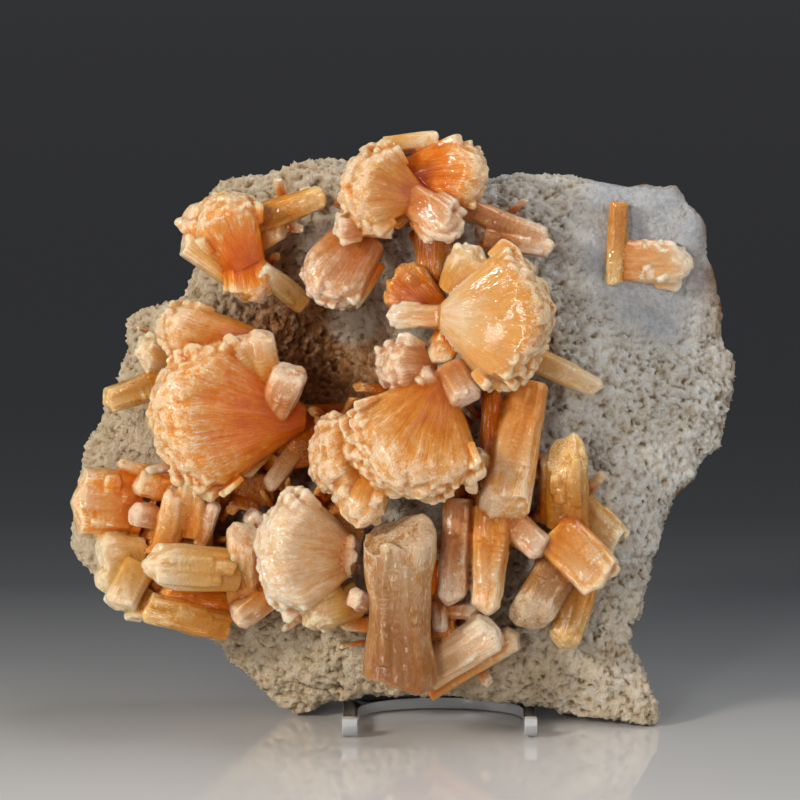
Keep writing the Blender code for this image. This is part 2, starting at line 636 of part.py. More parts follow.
def build_easel():
    """The easel: one clear sheet, bent into a forked base, a back panel and a rear leg."""
    half = EASEL_SHEET / 2.0
    panel = EASEL_PANEL_N - half
    path = [
        (EASEL_TIP_Y + half, EASEL_TIP_HEIGHT),
        (EASEL_TIP_Y + half, half),
        (plate_level(panel, half), half),
        (plate_level(panel, EASEL_TOP), EASEL_TOP),
        (EASEL_FOOT_Y, -half),
    ]
    small = bend(path[:3], 1.6, 4)
    large = bend(path[1:], EASEL_BEND, 6)
    profile = sheet_profile(small[:-1] + large[1:], EASEL_SHEET)
    left = (EASEL_LEFT - CENTRE_X) * MM
    right = (EASEL_RIGHT - CENTRE_X) * MM
    points = [(left, p.x * MM, p.y * MM) for p in profile]
    points += [(right, p.x * MM, p.y * MM) for p in profile]
    count = len(profile)
    faces = [list(range(count)), list(range(2 * count - 1, count - 1, -1))]
    faces += [[k, (k + 1) % count, count + (k + 1) % count, count + k] for k in range(count)]
    easel = new_object("easel", mesh_from("easel", points, faces))
    combine(easel, [notch_cutter(), floor_cutter()], "DIFFERENCE")
    keep_main_body(easel)
    return easel


def notch_cutter():
    """The rounded notch between the two prongs of the base."""
    left = EASEL_LEFT + EASEL_ARM_LEFT - CENTRE_X
    right = EASEL_RIGHT - EASEL_ARM_RIGHT - CENTRE_X
    front = EASEL_TIP_Y - 5.0
    shoulder = plate_level(NOTCH_FRONT_N, 0.0)
    deepest = plate_level(NOTCH_BACK_N, 0.0)
    outline = [(left, front), (right, front)]
    steps = 12
    for k in range(steps + 1):
        turn = math.pi * k / steps
        x = (left + right) / 2.0 + (right - left) / 2.0 * math.cos(turn)
        outline.append((x, shoulder + (deepest - shoulder) * math.sin(turn)))
    return prism("notch_cutter", outline, -4.0, 12.0)


def floor_cutter():
    """A block below the floor, which cuts the foot of the rear leg flat."""
    wide = 120.0
    return prism("floor_cutter", [(-wide, -wide), (wide, -wide), (wide, wide), (-wide, wide)], -9.0, 0.0)


def prism(name, outline, bottom, top):
    """An upright prism over an outline in (x, y), in millimetres."""
    count = len(outline)
    points = [Vector((x, y, bottom)) * MM for x, y in outline]
    points += [Vector((x, y, top)) * MM for x, y in outline]
    faces = [list(range(count)), list(range(2 * count - 1, count - 1, -1))]
    faces += [[k, (k + 1) % count, count + (k + 1) % count, count + k] for k in range(count)]
    return new_object(name, mesh_from(name, points, faces))


def main():
    """Build the rock, the crystal groups and the easel."""
    clear_scene()
    noise.seed_set(NOISE_SEED)
    rock = new_object("matrix", rock_mesh(0.0))
    rock.data.materials.append(material("matrix", ROCK_COLOUR, 0.9))
    earlier = {}
    for name, (crystals, colour) in GROUPS.items():
        solid = build_group(name, crystals, earlier)
        solid.data.materials.clear()
        solid.data.materials.append(material(name, colour, 0.35))
        earlier[name] = crystals
    easel = build_easel()
    easel.data.materials.clear()
    easel.data.materials.append(material("clear_plastic", EASEL_COLOUR, 0.05, 0.35))


main()
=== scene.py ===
"""Stilbite cluster: the looks of the rock, its crystals and the clear easel they lean on.

Places on the specimen are in millimetres on the plate: x to the right, s up along the plate
and n out of it, towards the viewer. Plate.to_world turns them into metres with +Z up. Every
crystal is a sheaf of fibres: a closed skin over fibres that run from a root to a crest, cut
up into lath-like cells that leave grooves along it and rounded steps at its end. The skins
of a group's crystals are then fused into one, because those crystals grew into each other.
"""

import logging
import math
from dataclasses import dataclass, field
from enum import Enum

import bmesh
import bpy
import numpy as np
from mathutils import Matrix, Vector, noise
from mathutils.kdtree import KDTree


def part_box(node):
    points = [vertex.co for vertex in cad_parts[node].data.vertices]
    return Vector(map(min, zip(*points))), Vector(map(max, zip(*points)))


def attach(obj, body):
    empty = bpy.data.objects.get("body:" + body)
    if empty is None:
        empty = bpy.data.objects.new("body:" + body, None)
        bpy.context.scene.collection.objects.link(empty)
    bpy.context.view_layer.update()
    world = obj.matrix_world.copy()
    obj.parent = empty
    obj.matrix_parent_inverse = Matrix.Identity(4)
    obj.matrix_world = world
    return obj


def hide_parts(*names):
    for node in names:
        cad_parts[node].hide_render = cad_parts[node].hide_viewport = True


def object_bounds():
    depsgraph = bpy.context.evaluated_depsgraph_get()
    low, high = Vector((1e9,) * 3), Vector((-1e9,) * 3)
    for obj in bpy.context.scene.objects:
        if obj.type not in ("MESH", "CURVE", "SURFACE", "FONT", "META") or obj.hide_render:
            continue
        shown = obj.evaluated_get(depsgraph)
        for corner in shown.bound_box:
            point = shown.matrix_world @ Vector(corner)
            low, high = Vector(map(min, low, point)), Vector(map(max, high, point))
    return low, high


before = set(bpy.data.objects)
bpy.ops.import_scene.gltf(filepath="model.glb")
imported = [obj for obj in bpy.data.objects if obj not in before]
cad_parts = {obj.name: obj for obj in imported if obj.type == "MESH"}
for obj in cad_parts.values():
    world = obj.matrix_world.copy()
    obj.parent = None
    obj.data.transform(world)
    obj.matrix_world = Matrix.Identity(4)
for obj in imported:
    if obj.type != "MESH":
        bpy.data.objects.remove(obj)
cad_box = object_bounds()

MM = 0.001
LOG = logging.getLogger("stilbite")

# Blender draws the offsets of its vector noise from the clock unless they are seeded
PATTERN_SEED = 11
noise.seed_set(PATTERN_SEED)

# How far the pieces stay inside the solids' box, and how near two points are one, in metres
INSIDE = 1e-5
WELD = 1e-6


def held(values: np.ndarray) -> np.ndarray:
    """Hold values between 0 and 1."""
    return np.clip(values, 0.0, 1.0)


def keep_inside(points: np.ndarray) -> np.ndarray:
    """Keep points, in world metres, just inside the box of the solids."""
    return np.clip(points, np.array(cad_box[0]) + INSIDE, np.array(cad_box[1]) - INSIDE)


def points_and_normals(mesh: bpy.types.Mesh) -> tuple:
    """Read a mesh's points and the way out of the skin at each.

    Args:
        mesh: the mesh.

    Returns:
        Two arrays with a row of three numbers for each point.
    """
    points, normals = np.empty(len(mesh.vertices) * 3), np.empty(len(mesh.vertices) * 3)
    mesh.vertices.foreach_get("co", points)
    mesh.vertex_normals.foreach_get("vector", normals)
    return points.reshape(-1, 3), normals.reshape(-1, 3)


def paint(mesh: bpy.types.Mesh, name: str, values: np.ndarray) -> None:
    """Store what a finish needs to know about each point of a mesh.

    Args:
        mesh: the mesh.
        name: the name that the finish reads it by.
        values: a number, or a row of three numbers, for each point.
    """
    kind, key = ("FLOAT_VECTOR", "vector") if values.ndim == 2 else ("FLOAT", "value")
    attribute = mesh.attributes.new(name, kind, "POINT")
    attribute.data.foreach_set(key, values.astype(np.float32).ravel())


def new_object(name: str, data: bpy.types.ID) -> bpy.types.Object:
    """Put a mesh, light or camera into the scene as an object of this name."""
    made = bpy.data.objects.new(name, data)
    bpy.context.scene.collection.objects.link(made)
    return made


def copy_solid(node: str, name: str, flat: float = 0.0) -> bpy.types.Object:
    """Copy a solid into the scene, its points in world metres.

    Args:
        node: the solid's name.
        name: the copy's name.
        flat: the angle, in degrees, up to which neighbouring facets become one; 0 keeps all.

    Returns:
        The copy.
    """
    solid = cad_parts[node]
    mesh = bpy.data.meshes.new(name)
    shape = bmesh.new()
    shape.from_mesh(solid.data)
    bmesh.ops.remove_doubles(shape, verts=shape.verts, dist=WELD)
    shape.transform(solid.matrix_world)
    if flat > 0.0:
        limit = math.radians(flat)
        bmesh.ops.dissolve_limit(shape, angle_limit=limit, verts=shape.verts, edges=shape.edges)
    shape.to_mesh(mesh)
    shape.free()
    return new_object(name, mesh)


def apply_modifiers(piece: bpy.types.Object) -> None:
    """Turn what a piece's modifiers make into its own mesh."""
    graph = bpy.context.evaluated_depsgraph_get()
    piece.data = bpy.data.meshes.new_from_object(piece.evaluated_get(graph))
    piece.modifiers.clear()


@dataclass(frozen=True)
class Plate:
    """The leaning plane that carries the crystals, and how places on it reach the world.

    Args:
        lean: how far the plate leans back, in degrees.
        centre_x: the x of the whole object's middle, in millimetres.
        centre_y: how far the plate's middle is moved along Y, in millimetres.
        height: how high the plate's middle is above the floor, in millimetres.
        seen_from: the distance, in millimetres, of the square view that the places fit.
    """

    lean: float = 10.0
    centre_x: float = 0.87
    centre_y: float = -6.5
    height: float = 79.4
    seen_from: float = 1000.0

    def to_world(self, places: np.ndarray) -> np.ndarray:
        """Turn places on the plate into points in the world.

        Args:
            places: rows of (x, s, n) in millimetres.

        Returns:
            Rows of (X, Y, Z) in metres.
        """
        lean = math.radians(self.lean)
        x, s, n = places[..., 0], places[..., 1], places[..., 2]
        back = s * math.sin(lean) - n * math.cos(lean) + self.centre_y
        up = s * math.cos(lean) + n * math.sin(lean) + self.height
        return np.stack((x - self.centre_x, back, up), axis=-1) * MM

    def from_world(self, points: np.ndarray) -> np.ndarray:
        """Turn points in the world back into places on the plate.

        Args:
            points: rows of (X, Y, Z) in metres.

        Returns:
            Rows of (x, s, n) in millimetres.
        """
        lean = math.radians(self.lean)
        x = points[..., 0] / MM + self.centre_x
        back = points[..., 1] / MM - self.centre_y
        up = points[..., 2] / MM - self.height
        s = back * math.sin(lean) + up * math.cos(lean)
        n = up * math.sin(lean) - back * math.cos(lean)
        return np.stack((x, s, n), axis=-1)

    def settle(self, place: tuple) -> np.ndarray:
        """Draw a place that stands out from the plate in towards the middle of the view.

        Args:
            place: (x, s, n) in millimetres.

        Returns:
            The settled place.
        """
        x, s, n = place
        nearer = 1.0 - n / self.seen_from
        return np.array((x * nearer, s * nearer, n))


PLATE = Plate()


class Tone(Enum):
    """The colours that the crystals of this cluster come in, each a material of its own."""

    PEACH = "peach"
    ORANGE = "orange"
    PINK = "pink"
    CREAM = "cream"
    AMBER = "amber"
    GLASSY = "glassy"
    # a darker, more saturated orange for crystals down in the gaps, partly painted shade
    DEEP_SHADED = "deep"
    PALE = "pale"
    # paler at the root: partly milky colour, partly painted light on the lit side of a fan
    MILKY_LIT = "milky"


class Form(Enum):
    """How a crystal ends: a sheaf has a rounded crest, a blade a wedge or a flat face."""

    SHEAF = "sheaf"
    BLADE = "blade"


@dataclass(frozen=True)
class Crystal:
    """One crystal or sheaf on the plate, all lengths in millimetres.

    Args:
        root: where it grows from.
        tip: the middle of its crest or end face.
        width: half its width at the root.
        spread: the half angle at which its fibres fan out, in degrees.
        depth_root: half its thickness at the root.
        depth_tip: half its thickness at the tip.
        tone: its colour.
        form: how it ends.
        drop: how much shorter its outer fibres are than its middle ones.
        slant: how steeply its end face is cut.
        cell: the width of the laths that it is made of.
        waist: how much narrower it is half way along, as a share of its width.
        both_ends: whether its root end shows and is finished like its tip.
        spacing: how much coarser its skin is than the mesher's own.
        blunt: how much of its end is a flat face, as a share of its width.
        roll: how far it is turned about its own length, in degrees.
    """

    root: tuple
    tip: tuple
    width: float
    spread: float
    depth_root: float
    depth_tip: float
    tone: Tone
    form: Form
    drop: float = 0.0
    slant: float = 0.0
    cell: float = 2.2
    waist: float = 0.0
    both_ends: bool = False
    spacing: float = 1.0
    blunt: float = 0.45
    roll: float = 0.0


def fan(root: tuple, tip: tuple, width: float, spread: float, depths: tuple, tone: Tone,
        drop: float = 0.2, cell: float = 2.4) -> Crystal:
    """Describe a sheaf of fibres that opens from a narrow root to a rounded crest.

    Args:
        root: where it grows from.
        tip: the middle of its crest.
        width: half its width at the root.
        spread: the half angle of the fan, in degrees.
        depths: half its thickness at root and tip.
        tone: its colour.
        drop: how much shorter its outer fibres are.
        cell: the width of its laths.

    Returns:
        The crystal.
    """
    return Crystal(root, tip, width, spread, *depths, tone, Form.SHEAF, drop=drop, cell=cell)


def blade(root: tuple, tip: tuple, widths: tuple, depth: float, tone: Tone, slant: float = 0.0,
          cell: float = 2.0, waist: float = 0.0, both_ends: bool = False,
          spacing: float = 1.0, blunt: float = 0.45, roll: float = 0.0) -> Crystal:
    """Describe a flat prism with rounded edges.

    Args:
        root: where it grows from.
        tip: the middle of its end face.
        widths: half its width at root and tip.
        depth: half its thickness.
        tone: its colour.
        slant: how steeply its end face is cut.
        cell: the width of its laths.
        waist: how much narrower it is half way along.
        both_ends: whether its root end shows.
        spacing: how much coarser its skin is.
        blunt: how much of its end is a flat face.
        roll: how far it is turned about its own length, in degrees.

    Returns:
        The crystal.
    """
    length = float(np.linalg.norm(np.subtract(tip, root)))
    spread = math.degrees(math.atan2(widths[1] - widths[0], length))
    return Crystal(root, tip, widths[0], spread, depth, depth, tone, Form.BLADE, slant=slant,
                   cell=cell, waist=waist, both_ends=both_ends, spacing=spacing, blunt=blunt, roll=roll)


@dataclass
class Laths:
    """The lath-like cells that a crystal's section is cut up into.

    Args:
        rng: the crystal's random numbers.
        half: half the section's width and thickness, in millimetres.
        size: a cell's width and thickness, in millimetres.
        a: the skin's places across the section, from -1 to 1.
        b: its places through the section.
        cover: how much of the section the cells cover, a little more than all of it.
        scatter: how far a cell is moved off its place in the grid, as a share of its size.
    """

    rng: np.random.Generator
    half: tuple
    size: tuple
    a: np.ndarray
    b: np.ndarray
    cover: float = 1.1
    scatter: float = 0.42

    def __post_init__(self) -> None:
        """Place the cells and find, for each place, the nearest two."""
        count_a = max(2, round(2.0 * self.cover * self.half[0] / self.size[0]))
        count_b = max(2, round(2.0 * self.cover * self.half[1] / self.size[1]))
        grid_a, grid_b = np.meshgrid(np.arange(count_a), np.arange(count_b))
        shift = self.rng.uniform(-self.scatter, self.scatter, (2, count_b, count_a))
        centre_a = ((grid_a + 0.5 + shift[0] + 0.5 * (grid_b % 2)) / count_a * 2.0 - 1.0) * self.cover
        centre_b = ((grid_b + 0.5 + shift[1]) / count_b * 2.0 - 1.0) * self.cover
        far_a = (self.a.ravel()[:, None] - centre_a.ravel()[None, :]) * self.half[0] / self.size[0]
        far_b = (self.b.ravel()[:, None] - centre_b.ravel()[None, :]) * self.half[1] / self.size[1]
        far = far_a ** 2 + far_b ** 2
        order = np.argpartition(far, 1, axis=1)[:, :2]
        two = np.sqrt(np.take_along_axis(far, order, axis=1))
        nearest = np.where(two[:, 0] > two[:, 1], order[:, 1], order[:, 0])
        rows = np.arange(len(nearest))
        shape = self.a.shape
        self.count = far.shape[1]
        self.own = nearest.reshape(shape)
        self.off_a = far_a[rows, nearest].reshape(shape)
        self.off_b = far_b[rows, nearest].reshape(shape)
        self.border = np.abs(two[:, 0] - two[:, 1]).reshape(shape)

    def each(self, low: float, high: float) -> np.ndarray:
        """Draw one value for each cell and give every place its own cell's."""
        return self.rng.uniform(low, high, self.count)[self.own]

    def crease(self, width: float) -> np.ndarray:
        """1 on the borders between cells, falling to 0 within this share of a cell."""
        return np.exp(-((self.border / width) ** 2))

    def tilted(self, slope: float) -> np.ndarray:
        """A flat facet for each cell, tilted its own way by up to this slope."""
        return self.each(-slope, slope) * self.off_a + self.each(-slope, slope) * self.off_b


@dataclass(frozen=True)
class CrystalMesher:
    """Builds the dense skin of a crystal.

    Args:
        plate: the plane that carries the crystals.
        spacing: the wanted distance between points around a crystal, in millimetres.
        groove: how deep the grooves between laths are, in millimetres.
        step: how much one lath stands out over the next, in millimetres.
        sheaf_box: how square a sheaf's section is.
        blade_box: how square a blade's section is.
        least_spread: sheaves that open less than this, in degrees, have straight sides.
        depth_shade: how much deeper and darker the colour is painted down where the crystals meet the rock,
            as painted shade.
        depth_shade_height: how high over the plate that painted shade reaches, in millimetres.
        fewest: the least number of points around a crystal.
        most: the greatest.
        ripple: how uneven a section's outline is, as a share of its size.
        wave: how far a crystal wavers from its straight form, in millimetres.
        wave_scale: how quickly it wavers, per millimetre.
        bud_density: how many buds a crest has for each square millimetre of its quarter.
        least_buds: how many more there are on every crest.
        bud_length: how far down its fan a bud starts, in millimetres.
    """

    plate: Plate = PLATE
    spacing: float = 0.4
    groove: float = 0.12
    step: float = 0.3
    sheaf_box: float = 2.7
    blade_box: float = 3.1
    least_spread: float = 2.0
    depth_shade: float = 0.35
    depth_shade_height: float = 11.0
    fewest: int = 20
    most: int = 300
    ripple: float = 0.11
    wave: float = 0.6
    wave_scale: float = 0.12
    bud_density: float = 0.3
    least_buds: int = 6
    bud_length: float = 6.0

    def axes(self, root: np.ndarray, tip: np.ndarray, roll: float) -> tuple:
        """The directions along a crystal, across its width and through its thickness.

        Args:
            root: its root on the plate.
            tip: its tip on the plate.
            roll: how far it is turned about its own length, in degrees.

        Returns:
            Three unit vectors.
        """
        along = (tip - root) / np.linalg.norm(tip - root)
        through = np.array((0.0, 0.0, 1.0)) if abs(along[2]) <= 0.95 else np.array((0.0, 1.0, 0.0))
        through = through - along * through.dot(along)
        through /= np.linalg.norm(through)
        across = np.cross(through, along)
        turn = math.radians(roll)
        turned = across * math.cos(turn) + through * math.sin(turn)
        return along, turned, through * math.cos(turn) - across * math.sin(turn)

    def own_axes(self, crystal: Crystal) -> tuple:
        """Where a crystal stands and which way it points, before it is drawn in.

        Args:
            crystal: the crystal.

        Returns:
            Its root, its length in millimetres, and unit vectors along, across and through it.
        """
        root, tip = np.array(crystal.root, dtype=float), np.array(crystal.tip, dtype=float)
        return root, float(np.linalg.norm(tip - root)), *self.axes(root, tip, crystal.roll)

    def profile(self, crystal: Crystal, length: float, spacing: float) -> tuple:
        """The rows of the skin from root to crest.

        Args:
            crystal: the crystal.
            length: its length in millimetres.
            spacing: the wanted distance between points.

        Returns:
            Arrays of t along the crystal, of the section's scale, and of how far each row
            already belongs to an end face, from 0 to 1, or to -1 at a root that shows.
        """
        body_rows = max(8, int(length / (spacing * 2.2)))
        shorter = min(crystal.width, crystal.depth_tip)
        if crystal.form is Form.SHEAF:
            edge = min(0.3, 0.85 * crystal.depth_tip / length)
            inner, cap_rows = 0.0, int(1.2 * crystal.depth_tip / spacing) + 6
        else:
            edge = min(0.3, 0.55 * shorter / length)
            inner, cap_rows = crystal.blunt, 7
        turn = np.linspace(0.0, math.pi / 2.0, cap_rows + 1)[1:]
        cap_t = 1.0 - edge + edge * np.sin(turn)
        cap_scale = inner + (1.0 - inner) * np.cos(turn) ** 0.9
        cap_end = np.sin(turn)
        if inner > 0.0:
            flat = np.linspace(1.0, 0.0, max(5, int(shorter * inner / spacing)) + 1)[1:]
            cap_t = np.concatenate((cap_t, 1.0 + 0.06 * shorter / length * (1.0 - flat ** 2)))
            cap_scale = np.concatenate((cap_scale, inner * np.maximum(flat, 0.02)))
            cap_end = np.concatenate((cap_end, np.ones(len(flat))))
        body = np.linspace(edge if crystal.both_ends else 0.0, 1.0 - edge, body_rows)
        t = np.concatenate((body, cap_t))
        scale = np.concatenate((np.ones(body_rows), cap_scale))
        end = np.concatenate((np.zeros(body_rows), cap_end))
        if crystal.both_ends:
            t = np.concatenate((1.0 - cap_t[::-1], t))
            scale = np.concatenate((cap_scale[::-1], scale))
            end = np.concatenate((-cap_end[::-1], end))
        return t, np.maximum(scale, 0.015), end

    def ring(self, box: float, half: tuple, around: int, seed: int) -> tuple:
        """Evenly spaced places around a section, and the way out at each.

        Args:
            box: how square the section is.
            half: half its width and thickness, in millimetres.
            around: how many places there are.
            seed: fixes the section's unevenness.

        Returns:
            Arrays of a and b from -1 to 1, and of the outward direction in both.
        """
        samples = 4001
        turn = np.linspace(0.0, 2.0 * math.pi, samples)
        a = np.sign(np.cos(turn)) * np.abs(np.cos(turn)) ** (2.0 / box)
        b = np.sign(np.sin(turn)) * np.abs(np.sin(turn)) ** (2.0 / box)
        run = np.hypot(np.diff(a) * half[0], np.diff(b) * half[1])
        walked = np.concatenate(((0.0,), np.cumsum(run)))
        wanted = (np.arange(around) + 0.5) / around * walked[-1]
        a, b = np.interp(wanted, walked, a), np.interp(wanted, walked, b)
        slope_a = np.sign(a) * np.abs(a) ** (box - 1.0) / half[0]
        slope_b = np.sign(b) * np.abs(b) ** (box - 1.0) / half[1]
        steep = np.hypot(slope_a, slope_b) + 1e-9
        uneven = np.array([
            noise.noise(Vector((seed * 3.7, u * 1.3, v * 1.3))) for u, v in zip(a, b)
        ])
        outline = 1.0 + self.ripple * uneven
        return a * outline, b * outline, slope_a / steep, slope_b / steep

    def relief(self, crystal: Crystal, rng: np.random.Generator, half: tuple,
               a: np.ndarray, b: np.ndarray, t: np.ndarray) -> tuple:
        """How far the laths stand out sideways and ahead.

        Args:
            crystal: the crystal.
            rng: its random numbers.
            half: half its width and thickness at the tip.
            a: the skin's places across.
            b: its places through.
            t: its places along.

        Returns:
            The distance out of the flanks and ahead at the ends, in millimetres.
        """
        cell = crystal.cell
        sheaf = crystal.form is Form.SHEAF
        lobes = Laths(rng, half, (3.0 * cell, 2.6 * cell), a, b)
        laths = Laths(rng, half, (cell, 0.7 * cell), a, b)
        fine = Laths(rng, half, (0.36 * cell, 0.32 * cell), a, b)
        ended = held((t - laths.each(0.55, 1.5)) / 0.025)
        out = self.step * (0.45 * laths.each(-1.0, 1.0) - 0.8 * ended + 0.12 * fine.each(-1.0, 1.0))
        out -= self.groove * (laths.crease(0.2) + 0.4 * fine.crease(0.3))
        if sheaf:
            out += 0.8 * self.step * lobes.each(-1.0, 1.0) - 0.16 * lobes.crease(0.2) - 0.1
            ahead = 0.42 * cell * lobes.each(-1.0, 1.0) + lobes.tilted(1.1) - 0.5 * lobes.crease(0.14)
            ahead += 0.2 * laths.each(-1.0, 1.0) * cell + laths.tilted(0.34 * cell)
            ahead += 0.07 * cell * fine.each(-1.0, 1.0) - 0.35 * laths.crease(0.16) - 0.5
        else:
            apex = rng.uniform(-0.7, 0.7)
            wedge = rng.uniform(0.12, 0.5)
            ahead = -wedge * np.abs(a - apex) * half[0] + rng.uniform(-0.2, 0.2) * b * half[1]
            ahead += 0.12 * laths.each(-1.0, 1.0) * cell + laths.tilted(0.06 * cell)
            ahead += 0.03 * cell * fine.each(-1.0, 1.0) - 0.1 * laths.crease(0.16)
            out *= 0.75
        return out, ahead

    def skin(self, crystal: Crystal, seed: int) -> tuple:
        """The points, faces and fibre places of one crystal.

        Args:
            crystal: the crystal.
            seed: fixes its random numbers.

        Returns:
            Points on the plate, faces, how far along each point is, pulled towards the root's deeper colour
            near the rock as painted shade, and its place among the fibres in millimetres.
        """
        rng = np.random.default_rng(seed)
        root, tip = self.plate.settle(crystal.root), self.plate.settle(crystal.tip)
        along, across, through = self.axes(root, tip, crystal.roll)
        length = float(np.linalg.norm(tip - root))
        sheaf = crystal.form is Form.SHEAF
        angle = math.radians(crystal.spread)
        end_half = crystal.width + length * math.sin(max(angle, 0.0))
        half = (end_half, max(crystal.depth_root, crystal.depth_tip))
        spacing = self.spacing * crystal.spacing
        t, scale, end = self.profile(crystal, length, spacing)
        box = self.sheaf_box if sheaf else self.blade_box
        outline = 2.0 * math.pi * math.hypot(*half) * 0.72
        around = int(np.clip(outline / spacing, self.fewest, self.most))
        edge_a, edge_b, out_a, out_b = self.ring(box, half, around, seed)
        a = scale[:, None] * edge_a[None, :]
        b = scale[:, None] * edge_b[None, :]
        t_all = np.repeat(t[:, None], around, axis=1)
        out, ahead = self.relief(crystal, rng, half, a, b, t_all)
        inside = held(t_all)
        rise = np.ones_like(inside) if crystal.both_ends else inside ** 0.7
        start = root + across * (a * crystal.width)[..., None]
        reach = length * (1.0 - crystal.drop * a * a)
        if crystal.spread < self.least_spread:
            end_width = crystal.width + length * math.tan(angle)
            finish = root + along * reach[..., None] + across * (a * end_width)[..., None]
        else:
            behind = crystal.width / math.tan(angle)
            ray = along * np.cos(a * angle)[..., None] + across * np.sin(a * angle)[..., None]
            finish = root - along * behind + ray * (behind + reach)[..., None]
        slanted = t_all + crystal.slant * b * crystal.depth_tip / length * np.maximum(t_all, 0.0)
        depth = crystal.depth_root + (crystal.depth_tip - crystal.depth_root) * inside ** 1.2
        pinch = crystal.waist * np.exp(-(((t_all - 0.5) / 0.26) ** 2))
        places = start + (finish - start) * slanted[..., None] + through * (b * depth)[..., None]
        places -= across * (a * crystal.width * pinch)[..., None]
        fibre = finish - start
        fibre /= np.linalg.norm(fibre, axis=-1, keepdims=True)
        side = across * out_a[:, None] + through * out_b[:, None]
        lean = np.sqrt(held(1.0 - end ** 2))[:, None]
        places += side[None, :, :] * (out * rise * lean)[..., None]
        places += fibre * (ahead * end[:, None])[..., None]
        flat = places.reshape(-1, 3)
        wave = np.array([noise.noise_vector(Vector(place) * self.wave_scale) for place in flat])
        places += wave.reshape(places.shape) * self.wave * rise[..., None]
        ends = [row.mean(axis=0)[None, :] for row in (places[0], places[-1])]
        points = np.concatenate((places.reshape(-1, 3), *ends))
        deepest = 0.0 if sheaf else 0.3
        far = np.clip(deepest + (1.0 - deepest) * t_all.ravel(), 0.0, 1.2)
        far = np.concatenate((far, (deepest, 1.0)))
        # painted shade: the colour is pulled towards the root's deeper tone down near the rock
        far -= self.depth_shade * held(1.0 - points[:, 2] / self.depth_shade_height)
        grain = np.stack((a * half[0], b * half[1], t_all * length), axis=-1).reshape(-1, 3)
        grain = np.concatenate((grain, [[0.0, 0.0, 0.0], [0.0, 0.0, length]])) + seed * 17.3
        return points, self.faces(len(t), around), far, grain

    def faces(self, rows: int, around: int) -> list:
        """The faces of a closed skin of rows of points.

        Args:
            rows: how many rows there are.
            around: how many points each row has.

        Returns:
            Lists of point indices.
        """
        low = np.arange(rows - 1)[:, None] * around
        here = np.arange(around)[None, :]
        after = (here + 1) % around
        quads = np.stack((low + here, low + after, low + around + after, low + around + here), axis=-1)
        faces = quads.reshape(-1, 4).tolist()
        last = (rows - 1) * around
        root, crest = rows * around, rows * around + 1
        for k, after_k in zip(here[0].tolist(), after[0].tolist()):
            faces.append([after_k, k, root])
            faces.append([last + k, last + after_k, crest])
        return faces

    def buds(self, crystal: Crystal, seed: int) -> list:
        """Short blades that stand out of a sheaf's crest, where its fibres end unevenly.

        Args:
            crystal: the sheaf.
            seed: fixes its random numbers.

        Returns:
            The blades.
        """
        rng = np.random.default_rng(seed + 5000)
        root, length, along, across, through = self.own_axes(crystal)
        angle = math.radians(crystal.spread)
        end_width = crystal.width + length * math.sin(angle)
        made = []
        for _ in range(int(self.bud_density * end_width * crystal.depth_tip) + self.least_buds):
            a, b = rng.uniform(-0.97, 0.97), rng.uniform(-0.85, 0.85)
            turn = a * angle
            way = along * math.cos(turn) + across * math.sin(turn)
            foot = root + across * a * crystal.width * 0.9
            depth = crystal.depth_root + (crystal.depth_tip - crystal.depth_root) * 0.8
            rim = length * (1.0 - crystal.drop * a * a) * (1.0 - 0.24 * b * b)
            low = foot + way * (rim - self.bud_length) + through * b * depth * 0.74
            high = foot + way * (rim + rng.uniform(-0.9, 0.4)) + through * b * depth
            wide = rng.uniform(0.8, 1.9) * crystal.cell / 2.4
            made.append(blade(tuple(low), tuple(high), (wide * 0.8, wide), wide * rng.uniform(0.6, 0.9),
                              crystal.tone, slant=rng.uniform(-0.5, 0.5), cell=1.5, spacing=1.35,
                              blunt=rng.uniform(0.4, 0.7)))
        return made

    def splints(self, crystal: Crystal, seed: int) -> list:
        """Thin blades grown along a blade's skin, which break its faces and its end into steps.

        Args:
            crystal: the blade.
            seed: fixes its random numbers.

        Returns:
            The thin blades.
        """
        rng = np.random.default_rng(seed + 9000)
        root, length, along, across, through = self.own_axes(crystal)
        gain = length * math.tan(math.radians(crystal.spread))
        deep = crystal.depth_tip
        made = []
        for number in range(3 + int(crystal.width * 0.9)):
            ends = np.array((rng.uniform(0.02, 0.45), rng.uniform(0.6, 0.99)))
            halves = crystal.width + gain * ends - crystal.width * crystal.waist
            wide = rng.uniform(0.2, 0.42) * crystal.width
            thick = rng.uniform(0.25, 0.4) * deep
            proud = rng.uniform(0.1, 0.42)
            if number % 3 < 2:
                sides = rng.uniform(-0.8, 0.8) * (halves - wide)
                height = (deep - thick + proud) * (1.0 if number % 6 < 5 else -1.0)
            else:
                sides = rng.choice((-1.0, 1.0)) * (halves - wide + proud)
                height = rng.uniform(-0.5, 0.6) * (deep - thick)
            low, high = (
                root + along * end * length + across * side + through * height
                for end, side in zip(ends, sides)
            )
            made.append(blade(tuple(low), tuple(high), (wide, wide * rng.uniform(0.8, 1.05)), thick,
                              crystal.tone, slant=rng.uniform(-0.4, 0.4), cell=1.5, both_ends=True,
                              spacing=1.3, blunt=0.5, roll=crystal.roll))
        return made


